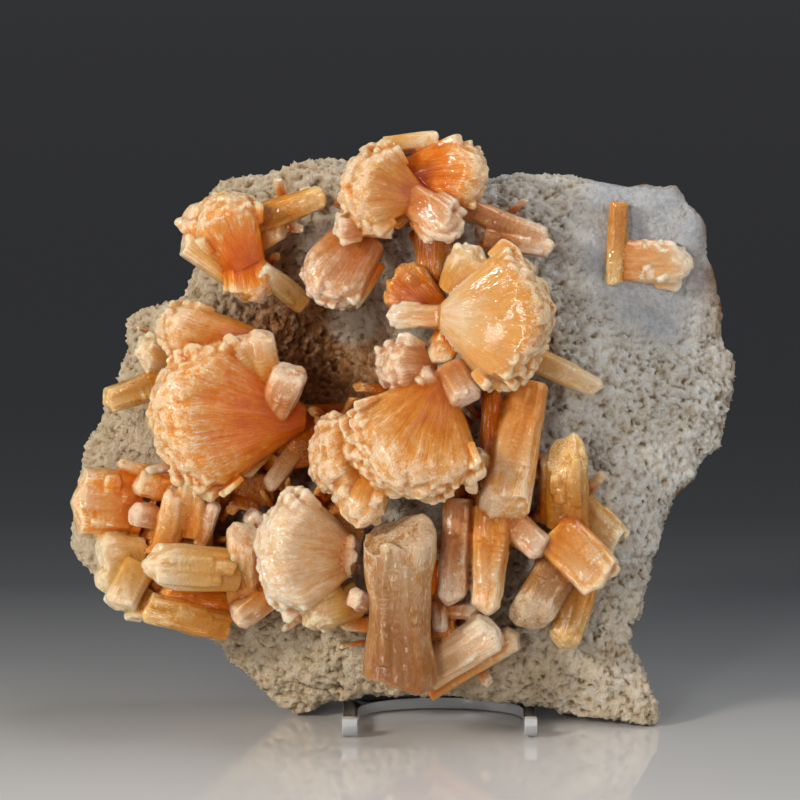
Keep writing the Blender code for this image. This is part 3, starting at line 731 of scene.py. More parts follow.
class NodeMaker:
    """Short ways to add shader nodes to a material."""

    def __init__(self, name: str) -> None:
        """Make a material of this name and keep its node tree and its Principled shader."""
        self.material = bpy.data.materials.new(name)
        self.material.use_nodes = True
        self.tree = self.material.node_tree
        self.shader = self.tree.nodes["Principled BSDF"]

    def add(self, kind: str, **settings: object) -> bpy.types.Node:
        """Add a node and set its properties.

        Args:
            kind: the node's type.
            **settings: properties of the node.

        Returns:
            The node.
        """
        node = self.tree.nodes.new(kind)
        for key, value in settings.items():
            setattr(node, key, value)
        return node

    def link(self, source: object, target: object) -> None:
        """Link an output to an input, or set the input if the source is a plain value."""
        if isinstance(source, bpy.types.NodeSocket):
            self.tree.links.new(source, target)
        elif isinstance(source, tuple):
            target.default_value = (*source, 1.0)
        else:
            target.default_value = source

    def dress(self, looks: dict) -> None:
        """Set the shader's inputs to plain values, or link the patterns that drive them.

        Args:
            looks: a socket or plain value for the name of each input.
        """
        for name, value in looks.items():
            if isinstance(value, bpy.types.NodeSocket):
                self.tree.links.new(value, self.shader.inputs[name])
            else:
                self.shader.inputs[name].default_value = value

    def painted(self, name: str, output: str = "Fac") -> bpy.types.NodeSocket:
        """Read what is painted on the mesh under this name."""
        return self.add("ShaderNodeAttribute", attribute_name=name).outputs[output]

    def place(self) -> bpy.types.NodeSocket:
        """The place on the object, in metres."""
        return self.add("ShaderNodeTexCoord").outputs["Object"]

    def math(self, operation: str, first: object, second: object) -> bpy.types.NodeSocket:
        """Join two values by a sum, product or other operation.

        Args:
            operation: the node's operation.
            first: a socket or number.
            second: a socket or number.

        Returns:
            The result's socket.
        """
        node = self.add("ShaderNodeMath", operation=operation)
        self.link(first, node.inputs[0])
        self.link(second, node.inputs[1])
        return node.outputs[0]

    def centred(self, value: object, gain: float) -> bpy.types.NodeSocket:
        """Turn a 0 to 1 pattern into one that swings about 0 by this gain."""
        return self.math("MULTIPLY", self.math("SUBTRACT", value, 0.5), gain)

    def noise(self, vector: object, scale: float, detail: float, rough: float) -> bpy.types.NodeSocket:
        """Add a noise pattern.

        Args:
            vector: the socket that gives the place.
            scale: how fine the pattern is.
            detail: how many finer layers it has.
            rough: how strong the finer layers are.

        Returns:
            The pattern's value.
        """
        node = self.add("ShaderNodeTexNoise")
        self.link(vector, node.inputs["Vector"])
        node.inputs["Scale"].default_value = scale
        node.inputs["Detail"].default_value = detail
        node.inputs["Roughness"].default_value = rough
        return node.outputs["Fac"]

    def ramp(self, value: object, stops: tuple) -> bpy.types.NodeSocket:
        """Turn a value into a colour.

        Args:
            value: the socket that drives the ramp.
            stops: pairs of position and colour.

        Returns:
            The colour's socket.
        """
        spread = self.add("ShaderNodeMapRange")
        low, high = stops[0][0], stops[-1][0]
        self.link(value, spread.inputs["Value"])
        spread.inputs["From Min"].default_value = low
        spread.inputs["From Max"].default_value = high
        node = self.add("ShaderNodeValToRGB")
        elements = node.color_ramp.elements
        while len(elements) < len(stops):
            elements.new(0.5)
        for element, (place, colour) in zip(elements, stops):
            element.position = (place - low) / (high - low)
            element.color = (*colour, 1.0)
        self.link(spread.outputs["Result"], node.inputs["Fac"])
        return node.outputs["Color"]

    def rising(self, value: object, low: float, high: float, top: float) -> bpy.types.NodeSocket:
        """Rise from 0 to a top value between two limits.

        Args:
            value: the socket that drives it.
            low: where it starts to rise.
            high: where it reaches the top.
            top: the value there.

        Returns:
            The result's socket.
        """
        node = self.add("ShaderNodeMapRange")
        self.link(value, node.inputs["Value"])
        node.inputs["From Min"].default_value = low
        node.inputs["From Max"].default_value = high
        node.inputs["To Max"].default_value = top
        return node.outputs["Result"]

    def mix(self, blend: str, first: object, second: object, factor: object) -> bpy.types.NodeSocket:
        """Mix two colours.

        Args:
            blend: how they are mixed.
            first: a socket or colour.
            second: a socket or colour.
            factor: how much of the second.

        Returns:
            The mixed colour's socket.
        """
        node = self.add("ShaderNodeMix", data_type="RGBA", blend_type=blend)
        colours = [socket for socket in node.inputs if socket.type == "RGBA"]
        self.link(factor, node.inputs["Factor"])
        self.link(first, colours[0])
        self.link(second, colours[1])
        return next(socket for socket in node.outputs if socket.type == "RGBA")

    def bump(self, height: object, strength: float, distance: float,
             inputs: tuple = ("Normal", "Coat Normal")) -> None:
        """Let a height pattern ruffle the surface, its coat or both.

        Args:
            height: the socket of the pattern.
            strength: how strongly it is felt.
            distance: how high it stands, in metres.
            inputs: the shader's inputs that it is for.
        """
        node = self.add("ShaderNodeBump")
        node.inputs["Strength"].default_value = strength
        node.inputs["Distance"].default_value = distance
        self.link(height, node.inputs["Height"])
        for name in inputs:
            self.link(node.outputs["Normal"], self.shader.inputs[name])


# Colours that all the crystals share: the streaks' tints, the palest threads, partly painted highlights along
# the striations, and the specks
STREAK_TINTS = ((0.28, (0.80, 0.68, 0.54)), (0.5, (0.89, 0.86, 0.83)), (0.7, (0.95, 0.97, 1.0)))
THREAD_AND_HIGHLIGHT = (0.97, 0.88, 0.76)
SPECK = (0.20, 0.09, 0.03)


@dataclass(frozen=True)
class CrystalFinish:
    """A translucent, striated stilbite surface.

    Args:
        root: the colour near the root.
        body: the colour half way up.
        crest: the colour near the end.
        rim: the pearly colour of the outermost ends.
        roughness: how dull the faces are.
        scatter: how far light travels inside, in metres.
        clear: how much of the light passes straight through.
        gloss: how strong its shine is.
        straight: how much slower the streaks change along a fibre than across it.
        clouds: how far broad clouds shift the colours towards root or crest.
        streaks: how far the streaks do.
        pits: how far fine pits do.
        milk: how far milky spots do.
        edge_and_crevice_shade: how far painted light on edges and painted shade in crevices shift the
            colours.
        relief: how high the streaks and pits stand, in metres.
        lustre: how high the ribs under the shine stand, in metres.
    """

    root: tuple
    body: tuple
    crest: tuple
    rim: tuple
    roughness: float = 0.34
    scatter: float = 0.0026
    clear: float = 0.0
    gloss: float = 0.8
    straight: float = 0.07
    clouds: float = 0.75
    streaks: float = 0.32
    pits: float = 0.3
    milk: float = 0.9
    edge_and_crevice_shade: float = 0.34
    relief: float = 0.00028
    lustre: float = 0.00014

    def material(self, name: str) -> bpy.types.Material:
        """Build the node material.

        Args:
            name: what the material is called.

        Returns:
            The material.
        """
        nodes = NodeMaker(name)
        fibre = nodes.painted("fibre", "Vector")
        mapping = nodes.add("ShaderNodeMapping")
        mapping.inputs["Scale"].default_value = (1.0, 1.0, self.straight)
        nodes.link(fibre, mapping.inputs["Vector"])
        stretched = mapping.outputs["Vector"]
        streaks = nodes.noise(stretched, 1.3, 5.0, 0.62)
        threads = nodes.noise(stretched, 3.1, 3.0, 0.6)
        broad = nodes.noise(fibre, 0.15, 3.0, 0.5)
        pits = nodes.noise(fibre, 1.7, 4.0, 0.6)
        milky = nodes.noise(fibre, 0.45, 5.0, 0.7)
        level = nodes.painted("along")
        for pattern, gain in ((broad, self.clouds), (streaks, self.streaks), (pits, self.pits)):
            level = nodes.math("ADD", level, nodes.centred(pattern, gain))
        # painted light on edges and painted shade in crevices: edges move towards the rim's colour, crevices
        # towards the root's
        level = nodes.math("ADD", level, nodes.math("MULTIPLY", nodes.painted("painted_edge_and_crevice_shade"), self.edge_and_crevice_shade))
        level = nodes.math("ADD", level, nodes.centred(milky, self.milk))
        nodes.dress({
            "Base Color": self.colour(nodes, level, streaks, threads, milky, fibre),
            "Subsurface Weight": 1.0,
            "Subsurface Radius": (1.0, 0.62, 0.36),
            "Subsurface Scale": self.scatter,
            "Transmission Weight": self.clear,
            "IOR": 1.5,
            "Specular IOR Level": 0.15 * self.gloss,
            "Coat Weight": self.gloss,
            "Coat Roughness": 0.04,
            "Roughness": nodes.math("ADD", nodes.centred(broad, 0.3), self.roughness),
        })
        height = nodes.math("ADD", nodes.math("MULTIPLY", threads, 1.1), nodes.math("MULTIPLY", pits, 0.9))
        nodes.bump(height, 1.0, self.relief, ("Normal",))
        ribs = nodes.noise(stretched, 1.1, 1.0, 0.5)
        dents = nodes.noise(fibre, 0.8, 1.0, 0.5)
        shine = nodes.math("ADD", ribs, nodes.math("MULTIPLY", dents, 0.6))
        nodes.bump(shine, 1.0, self.lustre, ("Coat Normal",))
        return nodes.material

    def colour(self, nodes: NodeMaker, level: bpy.types.NodeSocket, streaks: bpy.types.NodeSocket,
               threads: bpy.types.NodeSocket, milky: bpy.types.NodeSocket,
               fibre: bpy.types.NodeSocket) -> bpy.types.NodeSocket:
        """Colour the crystal from root to rim, with milky clouds, pale threads that are partly painted
        highlights, and dark specks.

        Args:
            nodes: the material's node maker.
            level: how far towards the rim the colour is.
            streaks: the pattern of the streaks.
            threads: the pattern of the threads.
            milky: the pattern of the milky spots.
            fibre: the place among the fibres.

        Returns:
            The colour's socket.
        """
        graded = nodes.ramp(level, (
            (0.05, self.root), (0.5, self.body), (0.88, self.crest), (1.1, self.rim),
        ))
        streaked = nodes.mix("MULTIPLY", graded, nodes.ramp(streaks, STREAK_TINTS), 0.85)
        outer = nodes.rising(level, 0.5, 1.05, 1.0)
        cloud = nodes.math("MULTIPLY", nodes.rising(milky, 0.52, 0.72, 0.6), outer)
        clouded = nodes.mix("MIX", streaked, self.rim, cloud)
        # pale threads along the fibres, partly painted highlights on the striations
        thread_highlight = nodes.math("MULTIPLY", nodes.rising(threads, 0.53, 0.66, 0.8), outer)
        thread_highlighted = nodes.mix("MIX", clouded, THREAD_AND_HIGHLIGHT, thread_highlight)
        specks = nodes.noise(fibre, 1.25, 2.0, 0.5)
        return nodes.mix("MIX", thread_highlighted, SPECK, nodes.rising(specks, 0.72, 0.76, 0.7))


FINISHES = {
    Tone.PEACH: CrystalFinish(
        (0.62, 0.13, 0.004), (0.78, 0.30, 0.035), (0.84, 0.44, 0.13), (0.92, 0.66, 0.42)),
    Tone.ORANGE: CrystalFinish(
        (0.66, 0.10, 0.001), (0.82, 0.22, 0.005), (0.86, 0.38, 0.06), (0.92, 0.65, 0.38)),
    Tone.PINK: CrystalFinish(
        (0.54, 0.14, 0.02), (0.68, 0.27, 0.08), (0.78, 0.43, 0.21), (0.92, 0.70, 0.52)),
    Tone.CREAM: CrystalFinish(
        (0.68, 0.27, 0.03), (0.80, 0.43, 0.11), (0.86, 0.56, 0.23), (0.94, 0.74, 0.50)),
    Tone.PALE: CrystalFinish(
        (0.70, 0.28, 0.06), (0.84, 0.50, 0.24), (0.90, 0.64, 0.39), (0.95, 0.80, 0.62)),
    # paler towards the root: partly milky colour, partly painted light on the lit side of the bow tie's fan
    Tone.MILKY_LIT: CrystalFinish(
        (0.94, 0.74, 0.48), (0.86, 0.46, 0.14), (0.80, 0.37, 0.07), (0.92, 0.66, 0.40)),
    Tone.AMBER: CrystalFinish(
        (0.46, 0.13, 0.002), (0.60, 0.23, 0.010), (0.72, 0.34, 0.04), (0.84, 0.54, 0.20), 0.2),
    Tone.GLASSY: CrystalFinish(
        (0.34, 0.10, 0.012), (0.50, 0.20, 0.04), (0.62, 0.32, 0.10), (0.84, 0.62, 0.40), 0.16,
        clear=0.2, gloss=1.0),
    # a darker, more saturated orange for crystals in the gaps, partly painted shade
    Tone.DEEP_SHADED: CrystalFinish(
        (0.42, 0.07, 0.001), (0.58, 0.13, 0.002), (0.70, 0.21, 0.008), (0.80, 0.32, 0.04), gloss=0.2),
}


@dataclass(frozen=True)
class Druse:
    """A patch of small crystals that fills the room between the large ones.

    Args:
        middle: the patch's middle on the plate, in millimetres.
        reach: half its width and height.
        count: how many crystals it holds.
        tone: their colour.
        tall: the shortest and the longest of them.
    """

    middle: tuple
    reach: tuple
    count: int
    tone: Tone
    tall: tuple = (5.0, 9.5)

    def crystals(self, seed: int) -> list:
        """Scatter the small crystals.

        Args:
            seed: fixes the random numbers.

        Returns:
            The crystals.
        """
        rng = np.random.default_rng(seed)
        made = []
        for _ in range(self.count):
            spot = rng.uniform(-1.0, 1.0, 2)
            foot = np.array(self.middle) + (spot[0] * self.reach[0], spot[1] * self.reach[1], -3.0)
            way = np.array((spot[0] * 0.8, spot[1] * 0.8, 1.0)) + rng.normal(0.0, 0.35, 3)
            head = foot + way / np.linalg.norm(way) * rng.uniform(*self.tall)
            wide = rng.uniform(0.9, 2.1)
            made.append(blade(tuple(foot), tuple(head), (wide, wide * 0.8), wide * 0.6, self.tone,
                              slant=rng.uniform(-1.1, 1.1), cell=1.5, spacing=1.35, blunt=0.1,
                              roll=rng.uniform(-90.0, 90.0)))
        return made


@dataclass
class CrystalGroup:
    """Crystals that grew into each other, built as one piece that replaces one solid.

    Args:
        node: the solid's name.
        slot: the record's material slot; not used.
        crystals: the crystals of the group.
        druses: the patches of small crystals between them.
        mesher: what builds each skin.
        grain: the distance between points of the fused skin, in metres.
        kept: the share of the fused skin's faces that is kept where it is flattest.
        evened: how often the skin is evened out to find its edges and crevices.
        edge: how far an edge stands out over the evened skin, in metres.
    """

    node: str
    slot: str
    crystals: tuple
    druses: tuple = ()
    mesher: CrystalMesher = field(default_factory=CrystalMesher)
    grain: float = 0.00042
    kept: float = 0.66
    evened: int = 18
    edge: float = 0.0006

    def all_crystals(self) -> list:
        """The group's own crystals, with the buds and splints on them and its druses."""
        found = list(self.crystals)
        for number, crystal in enumerate(self.crystals):
            if crystal.form is Form.SHEAF and crystal.spread >= self.mesher.least_spread:
                found += self.mesher.buds(crystal, 40 * number + len(self.node))
            elif crystal.tone is not Tone.DEEP_SHADED:
                found += self.mesher.splints(crystal, 40 * number + len(self.node))
        for number, druse in enumerate(self.druses):
            found += druse.crystals(1000 + 31 * number + 7 * len(self.node))
        return found

    def fuse(self, points: np.ndarray, faces: list) -> tuple:
        """Make one skin over closed skins that run into each other.

        Args:
            points: the skins' points in the world.
            faces: their faces.

        Returns:
            The fused mesh, and for each of its points the nearest of the given ones.
        """
        loose = bpy.data.meshes.new("loose")
        loose.from_pydata(points.tolist(), [], faces)
        holder = new_object("loose", loose)
        union = holder.modifiers.new("union", "REMESH")
        union.mode = "VOXEL"
        union.voxel_size = self.grain
        thin = holder.modifiers.new("thin", "DECIMATE")
        thin.ratio = self.kept
        graph = bpy.context.evaluated_depsgraph_get()
        fused = bpy.data.meshes.new_from_object(holder.evaluated_get(graph))
        bpy.data.objects.remove(holder)
        bpy.data.meshes.remove(loose)
        tree = KDTree(len(points))
        for index, point in enumerate(points):
            tree.insert(point, index)
        tree.balance()
        return fused, np.array([tree.find(vertex.co)[1] for vertex in fused.vertices])

    def edge_and_crevice_shade(self, mesh: bpy.types.Mesh) -> np.ndarray:
        """Find the skin's edges and crevices, for painted light on the edges and painted shade in the
        crevices.

        Args:
            mesh: the fused skin.

        Returns:
            For each point 1 on an edge, 0 on even ground and -1 in a crevice.
        """
        points, normals = points_and_normals(mesh)
        count = len(points)
        edges = np.empty(len(mesh.edges) * 2, dtype=np.int32)
        mesh.edges.foreach_get("vertices", edges)
        edges = edges.reshape(-1, 2)
        here = np.concatenate((edges[:, 0], edges[:, 1]))
        there = np.concatenate((edges[:, 1], edges[:, 0]))
        around = np.maximum(np.bincount(here, minlength=count), 1)
        even = points
        for _ in range(self.evened):
            sums = [np.bincount(here, even[there, axis], count) for axis in range(3)]
            even = np.stack(sums, axis=-1) / around[:, None]
        return np.clip(((points - even) * normals).sum(axis=1) / self.edge, -1.0, 1.0)

    def build(self, materials: dict) -> bpy.types.Object:
        """Build the group's piece and dress it.

        Args:
            materials: the material of each tone.

        Returns:
            The piece.
        """
        crystals = self.all_crystals()
        points, faces, far, grain, toned = [], [], [], [], []
        tones = sorted({crystal.tone for crystal in crystals}, key=lambda tone: tone.value)
        total = 0
        first_seed = 1 + 101 * len(self.node) + sum(map(ord, self.node)) % 89
        for index, crystal in enumerate(crystals):
            new_points, new_faces, new_far, new_grain = self.mesher.skin(crystal, first_seed + index)
            points.append(new_points)
            far.append(new_far)
            grain.append(new_grain)
            faces += [[v + total for v in face] for face in new_faces]
            toned += [tones.index(crystal.tone)] * len(new_points)
            total += len(new_points)
        world = keep_inside(self.mesher.plate.to_world(np.concatenate(points)))
        mesh, nearest = self.fuse(world, faces)
        mesh.name = self.node + "_crystals"
        # how far along each point is, with the painted shade near the rock
        paint(mesh, "along", np.concatenate(far)[nearest])
        paint(mesh, "fibre", np.concatenate(grain)[nearest])
        # painted light on the edges and painted shade in the crevices, kept for the finish
        paint(mesh, "painted_edge_and_crevice_shade", self.edge_and_crevice_shade(mesh))
        mesh.materials.clear()
        for tone in tones:
            mesh.materials.append(materials[tone])
        corners = np.array([face.vertices[0] for face in mesh.polygons])
        mesh.polygons.foreach_set("material_index", np.array(toned)[nearest][corners].astype(np.int32))
        mesh.shade_smooth()
        mesh.update()
        piece = new_object(self.node + "_crystals", mesh)
        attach(piece, "root")
        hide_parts(self.node)
        return piece


@dataclass(frozen=True)
class RockFinish:
    """Cream, dull rock with tan hollows, a chalky patch, a brown-stained rim, painted shade in the hollow
    behind the crystals and painted shade over its lower part.

    Args:
        cream: the colours from the hollows between the lumps up to the highest grains.
        chalk: the bluish-white of the smooth patch, from its pits to its grains.
        stain: the brown of the rim.
        hollow_shade: the browns of the painted shade in the deep hollow behind the crystals.
        tan: the wash that warms the rock towards its left and, as painted shade, darkens its lower part.
        fine: how fine the grains' pattern is, per metre.
        patches: how fine the broad patches' pattern is, per metre.
        grit: how fine the grit's pattern is, per metre.
        relief: how high the grains stand in the bump, in metres.
    """

    cream: tuple = (
        (0.08, (0.38, 0.28, 0.17)), (0.32, (0.82, 0.72, 0.58)),
        (0.54, (0.96, 0.92, 0.84)), (0.78, (0.97, 0.96, 0.93)),
    )
    chalk: tuple = ((0.3, (0.42, 0.42, 0.44)), (0.52, (0.60, 0.61, 0.64)), (0.72, (0.76, 0.76, 0.76)))
    stain: tuple = ((0.3, (0.17, 0.07, 0.018)), (0.52, (0.34, 0.17, 0.045)), (0.72, (0.55, 0.36, 0.14)))
    hollow_shade: tuple = ((0.1, (0.26, 0.11, 0.04)), (0.5, (0.64, 0.29, 0.10)), (0.9, (0.80, 0.66, 0.48)))
    tan: tuple = (0.90, 0.76, 0.58)
    fine: float = 750.0
    patches: float = 60.0
    grit: float = 2400.0
    relief: float = 0.0018

    def material(self) -> bpy.types.Material:
        """Build the node material.

        Returns:
            The material.
        """
        nodes = NodeMaker("matrix_rock")
        place = nodes.place()
        fine = nodes.noise(place, self.fine, 6.0, 0.68)
        patches = nodes.noise(place, self.patches, 4.0, 0.6)
        level = nodes.math("ADD", nodes.painted("raised"), nodes.centred(fine, 1.1))
        level = nodes.math("ADD", level, nodes.centred(patches, 0.3))
        # the tan wash: warmer towards the left, and painted shade over the lower part
        colour = nodes.mix("MULTIPLY", nodes.ramp(level, self.cream), self.tan, nodes.painted("tan_wash_and_lower_shade"))
        # the chalky patch and the stained rim are the rock's own colours; the hollow's browns are painted
        # shade
        for driver, stops, where in (
            (fine, self.chalk, "chalky"), (fine, self.stain, "stained"), (level, self.hollow_shade, "painted_hollow_shade"),
        ):
            colour = nodes.mix("MIX", colour, nodes.ramp(driver, stops), nodes.painted(where))
        nodes.dress({"Base Color": colour, "Roughness": 0.85, "Specular IOR Level": 0.35})
        grit = nodes.noise(place, self.grit, 4.0, 0.6)
        nodes.bump(nodes.math("ADD", fine, nodes.math("MULTIPLY", grit, 0.45)), 1.0, self.relief)
        return nodes.material


@dataclass(frozen=True)
class Oval:
    """A soft-edged oval patch on the plate, in millimetres.

    Args:
        middle: its middle, across and up.
        half: half its width and height.
    """

    middle: tuple
    half: tuple

    def cover(self, places: np.ndarray) -> np.ndarray:
        """Tell which places the patch covers.

        Args:
            places: points on the plate.

        Returns:
            1 inside, falling to 0 outside.
        """
        across = (places[:, 0] - self.middle[0]) / self.half[0]
        up = (places[:, 1] - self.middle[1]) / self.half[1]
        return held((1.25 - np.hypot(across, up)) / 0.5)


@dataclass(frozen=True)
class Rock:
    """The matrix plate with its warty crust, made from the rock's own solid.

    Args:
        grain: the distance between points of the dense skin, in metres.
        smoothing: how often the solid's flat facets are evened out.
        wart: how far the lumps stand out, in millimetres.
        swell: how far the broad swells do.
        chalk: where the chalky patch lies.
        hollow: where the hollow behind the crystals, with its painted shade, lies.
        lit_part: the lit part of that hollow, which stays cream, without the painted shade.
        rim: how far right the brown stain of the rim starts, in millimetres.
        finish: its surface.
    """

    grain: float = 0.0008
    smoothing: int = 14
    wart: float = 1.6
    swell: float = 1.1
    chalk: Oval = Oval((64.0, 40.0), (19.0, 25.0))
    hollow: Oval = Oval((-24.0, 5.0), (24.0, 26.0))
    lit_part: Oval = Oval((-12.0, 19.0), (6.0, 5.0))
    rim: float = 60.0
    finish: RockFinish = RockFinish()

    def build(self) -> bpy.types.Object:
        """Build the rock's piece and dress it.

        Returns:
            The piece.
        """
        piece = copy_solid("matrix", "matrix_rock")
        dense = piece.modifiers.new("dense", "REMESH")
        dense.mode = "VOXEL"
        dense.voxel_size = self.grain
        even = piece.modifiers.new("even", "SMOOTH")
        even.factor = 0.5
        even.iterations = self.smoothing
        apply_modifiers(piece)
        piece.data.name = "matrix_rock"
        self.roughen(piece.data)
        piece.data.materials.clear()
        piece.data.materials.append(self.finish.material())
        piece.data.shade_smooth()
        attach(piece, "root")
        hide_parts("matrix")
        return piece

    def roughen(self, mesh: bpy.types.Mesh) -> None:
        """Raise grains and lumps over the skin and note what the finish needs to know.

        Args:
            mesh: the dense skin, in world metres.
        """
        points, normals = points_and_normals(mesh)
        places = PLATE.from_world(points)
        crust, swells = self.crust(places)
        x, s, n = places.T
        chalky = held(self.chalk.cover(places) * (n > -14.0) * (1.0 + 0.9 * swells))
        edge = held((x - self.rim + 0.25 * np.abs(s)) / 14.0) * held(-n / 5.0 - 0.2)
        # painted shade in the hollow behind the crystals, stronger the deeper it lies, except on its lit part
        deep = held((2.0 - n) / 7.0) * (n > -16.0)
        painted_hollow_shade = self.hollow.cover(places) * deep * (1.0 - self.lit_part.cover(places))
        # painted shade over the rock's lower part, carried by the tan wash
        above = np.clip(-0.02 * s - 0.6, 0.0, 0.7)
        lift = self.wart * crust * (1.0 - 0.86 * chalky) + self.swell * swells - 0.35
        points += normals * (lift * MM)[:, None]
        mesh.vertices.foreach_set("co", keep_inside(points).ravel())
        paint(mesh, "raised", 0.5 + 0.55 * crust)
        paint(mesh, "chalky", chalky)
        paint(mesh, "stained", held(edge * (0.8 + 1.2 * swells)))
        paint(mesh, "painted_hollow_shade", painted_hollow_shade)
        paint(mesh, "tan_wash_and_lower_shade", held(0.35 + (20.0 - x) / 90.0 + 0.5 * swells + above))
        mesh.update()

    def crust(self, places: np.ndarray) -> tuple:
        """The rock's fine, crumbly crust and its broader swells.

        Args:
            places: points on the plate, in millimetres.

        Returns:
            The crust's height, about -1 to 1, and the swells', about -1 to 1.
        """
        crust = np.empty(len(places))
        swells = np.empty(len(places))
        for index, place in enumerate(places):
            spot = Vector(place)
            bent = spot + noise.noise_vector(spot * 0.3) * 1.4
            ridges = 1.0 - 2.0 * abs(noise.noise(bent * 0.34))
            fine_ridges = 1.0 - 2.0 * abs(noise.noise(bent * 0.86))
            grains = noise.voronoi(bent * 0.8)[0][0]
            crust[index] = 0.35 * (ridges - 0.55) + 0.65 * (fine_ridges - 0.55) + 0.85 * (0.42 - grains)
            drift = spot + noise.noise_vector(spot * 0.05) * 11.0
            swells[index] = 0.8 * noise.noise(drift * 0.12) + 0.4 * noise.noise(drift * 0.31)
        return crust, swells


@dataclass(frozen=True)
class ClearPlastic:
    """Clear, polished acrylic, or the same where it was sawn and only lightly polished.

    Args:
        colour: its tint.
        roughness: how dull it is.
        clear: how much of the light passes through.
    """

    colour: tuple = (0.97, 0.985, 1.0)
    roughness: float = 0.03
    clear: float = 1.0

    def material(self, name: str) -> bpy.types.Material:
        """Build the node material.

        Args:
            name: what the material is called.

        Returns:
            The material.
        """
        nodes = NodeMaker(name)
        place = nodes.place()
        haze = nodes.noise(place, 60.0, 4.0, 0.6)
        nodes.dress({
            "Base Color": nodes.ramp(haze, ((0.3, self.colour), (0.7, (0.99, 1.0, 1.0)))),
            "Roughness": nodes.math("ADD", nodes.math("MULTIPLY", haze, 0.05), self.roughness),
            "Transmission Weight": self.clear,
            "IOR": 1.49,
        })
        nodes.bump(nodes.noise(place, 700.0, 3.0, 0.5), 0.06, 0.0002)
        return nodes.material


@dataclass(frozen=True)
class Easel:
    """The bent clear sheet, with its cut edges eased by polishing.

    Args:
        edge: how far the edges are rounded, in metres.
        corner: the angle, in degrees, from which an edge is rounded.
        square: how squarely a cut face looks along its axis, from 0 to 1.
        tip: how far behind the prongs' ends the sawn finish reaches, in metres.
        base: how high the base sheet's cut front edge reaches, in metres.
        finish: its polished faces.
        sawn: its cut edges.
    """

    edge: float = 0.00045
    corner: float = 40.0
    square: float = 0.7
    tip: float = 0.0034
    base: float = 0.003
    finish: ClearPlastic = ClearPlastic()
    sawn: ClearPlastic = ClearPlastic((0.93, 0.96, 1.0), 0.2, 0.6)

    def build(self) -> bpy.types.Object:
        """Build the easel's piece and dress it.

        Returns:
            The piece.
        """
        piece = copy_solid("easel", "easel_sheet", flat=1.0)
        ease = piece.modifiers.new("ease", "BEVEL")
        ease.width = self.edge
        ease.segments = 3
        ease.limit_method = "ANGLE"
        ease.angle_limit = math.radians(self.corner)
        apply_modifiers(piece)
        piece.data.materials.clear()
        piece.data.materials.append(self.finish.material("clear_plastic"))
        piece.data.materials.append(self.sawn.material("sawn_plastic"))
        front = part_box("easel")[0][1]
        for face in piece.data.polygons:
            side = abs(face.normal.x) > self.square
            front_edge = face.normal.y < -self.square and face.center.z < self.base
            face.material_index = int(side or front_edge or face.center.y < front + self.tip)
        piece.data.shade_smooth()
        piece.data.set_sharp_from_angle(angle=math.radians(30.0))
        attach(piece, "root")
        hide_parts("easel")
        return piece


@dataclass(frozen=True)
class Panel:
    """A soft panel light.

    Args:
        name: what it is called.
        place: where it stands, in metres.
        size: its width and height, in metres.
        power: its power in watts.
        colour: its colour.
    """

    name: str
    place: tuple
    size: tuple
    power: float
    colour: tuple

    def build(self, target: tuple) -> None:
        """Put up the light.

        Args:
            target: the point that it is aimed at, in metres.
        """
        data = bpy.data.lights.new(self.name, "AREA")
        data.shape = "RECTANGLE"
        data.size, data.size_y = self.size
        data.energy = self.power
        data.color = self.colour
        lamp = new_object(self.name, data)
        lamp.location = self.place
        aim = Vector(target) - Vector(self.place)
        lamp.rotation_euler = aim.to_track_quat("-Z", "Y").to_euler()


